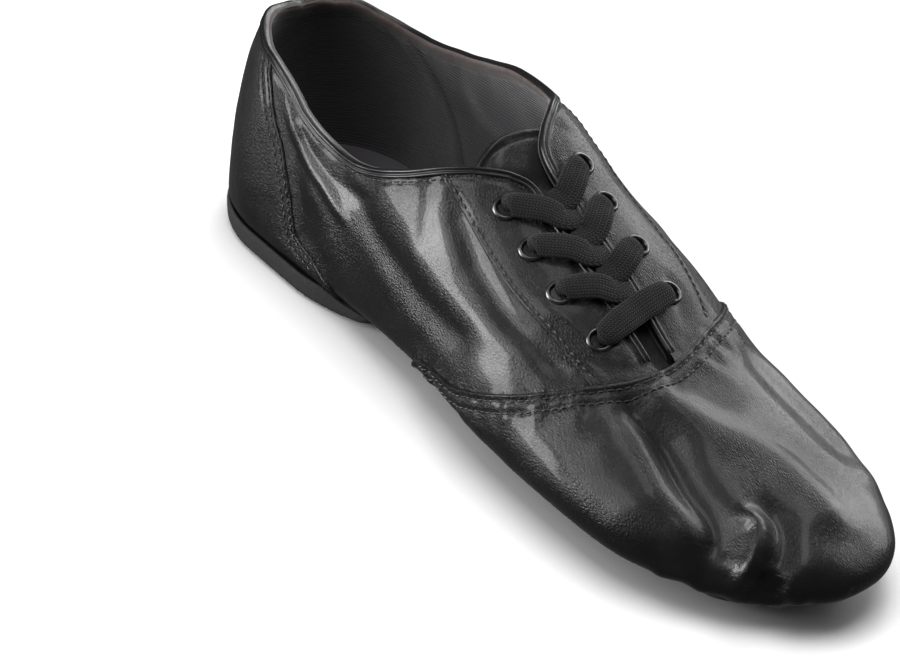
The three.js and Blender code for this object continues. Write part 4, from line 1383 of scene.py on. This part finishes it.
PIECES = {
    "leather": [
        quarter_lateral, quarter_medial, stay_lateral, stay_medial, vamp, counter, binding, tongue,
        upper_stitches,
    ],
    "lining": [*quarter_linings, heel_lining, vamp_lining, collar_tape, insole],
    "heel_rubber": [heel_sole],
    "suede": [ball_pad, toe_pad, pad_stitches],
    "webbing": [lace],
    "eyelet_metal": eyelets,
}
for slot, group in PIECES.items():
    for piece in group:
        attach(piece, "root")
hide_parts("upper")
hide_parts("heel_counter")
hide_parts("eyestay_lateral")
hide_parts("eyestay_medial")
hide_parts("tongue")
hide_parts("insole")
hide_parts("heel_sole")
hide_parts("ball_pad")
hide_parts("toe_pad")
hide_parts("lace")


# Floor, lights and camera

CAMERA_LENS = 165.13
CAMERA_PLACE = (0.7828, -0.6340, 0.6549)
CAMERA_RIGHT = (0.59661, 0.79609, 0.10145)
CAMERA_UP = (-0.50202, 0.27159, 0.82111)
CAMERA_BACK = (0.62613, -0.54081, 0.56169)
FLOOR_SIZE, FLOOR_LEVEL = 40, -0.0004
WORLD_STRENGTH = 0.13


def make_floor():
    bpy.ops.mesh.primitive_plane_add(size=FLOOR_SIZE, location=(0, 0, FLOOR_LEVEL))
    floor = bpy.context.object
    floor.name = "floor"
    floor.visible_glossy = False
    finish = Finish("pale_floor", 0.9)
    finish.colours(finish.noise(400, 2), (0.41, 0.41, 0.41), (0.43, 0.43, 0.43))
    floor.data.materials.append(finish.material)


def soft_light(name, place, target, size, power, mirrored=True):
    """A softbox; one that isn't mirrored lights the scene and leaves no highlight on the gloss."""
    lamp = bpy.data.lights.new(name, "AREA")
    lamp.shape = "RECTANGLE"
    lamp.size, lamp.size_y = size
    lamp.energy = power
    light = bpy.data.objects.new(name, lamp)
    light.location = place
    light.visible_camera = False
    light.visible_glossy = mirrored
    light.rotation_euler = (Vector(target) - Vector(place)).to_track_quat("-Z", "Y").to_euler()
    bpy.context.scene.collection.objects.link(light)


def make_camera():
    camera = bpy.data.cameras.new("camera")
    camera.lens = CAMERA_LENS
    camera.sensor_width = 36
    camera.clip_end = 100
    view = bpy.data.objects.new("camera", camera)
    turn = Matrix((CAMERA_RIGHT, CAMERA_UP, CAMERA_BACK)).transposed().to_4x4()
    view.matrix_world = Matrix.Translation(CAMERA_PLACE) @ turn
    bpy.context.scene.collection.objects.link(view)
    bpy.context.scene.camera = view


make_floor()
make_camera()
soft_light("fill", (0.0, 0.0, 1.6), (0.08, 0, 0.0), (1.5, 1.2), 60, mirrored=False)
soft_light("front_low", (-0.34, -0.60, 0.15), (0.08, 0, 0.04), (0.38, 0.30), 8)
soft_light("front_high", (-0.16, -0.62, 0.64), (0.08, 0, 0.03), (0.45, 0.5), 3.4)
soft_light("top", (-0.1, 0.2, 1.0), (0.08, 0, 0.02), (0.3, 0.8), 3.2)
soft_light("behind", (-0.13, 0.85, 0.42), (0.1, 0, 0.03), (0.95, 0.45), 9)
world = bpy.data.worlds.new("studio")
world.use_nodes = True
sky = world.node_tree.nodes["Background"]
sky.inputs["Color"].default_value = (1, 1, 1, 1)
sky.inputs["Strength"].default_value = WORLD_STRENGTH
bpy.context.scene.world = world
bpy.context.scene.view_settings.view_transform = "Standard"
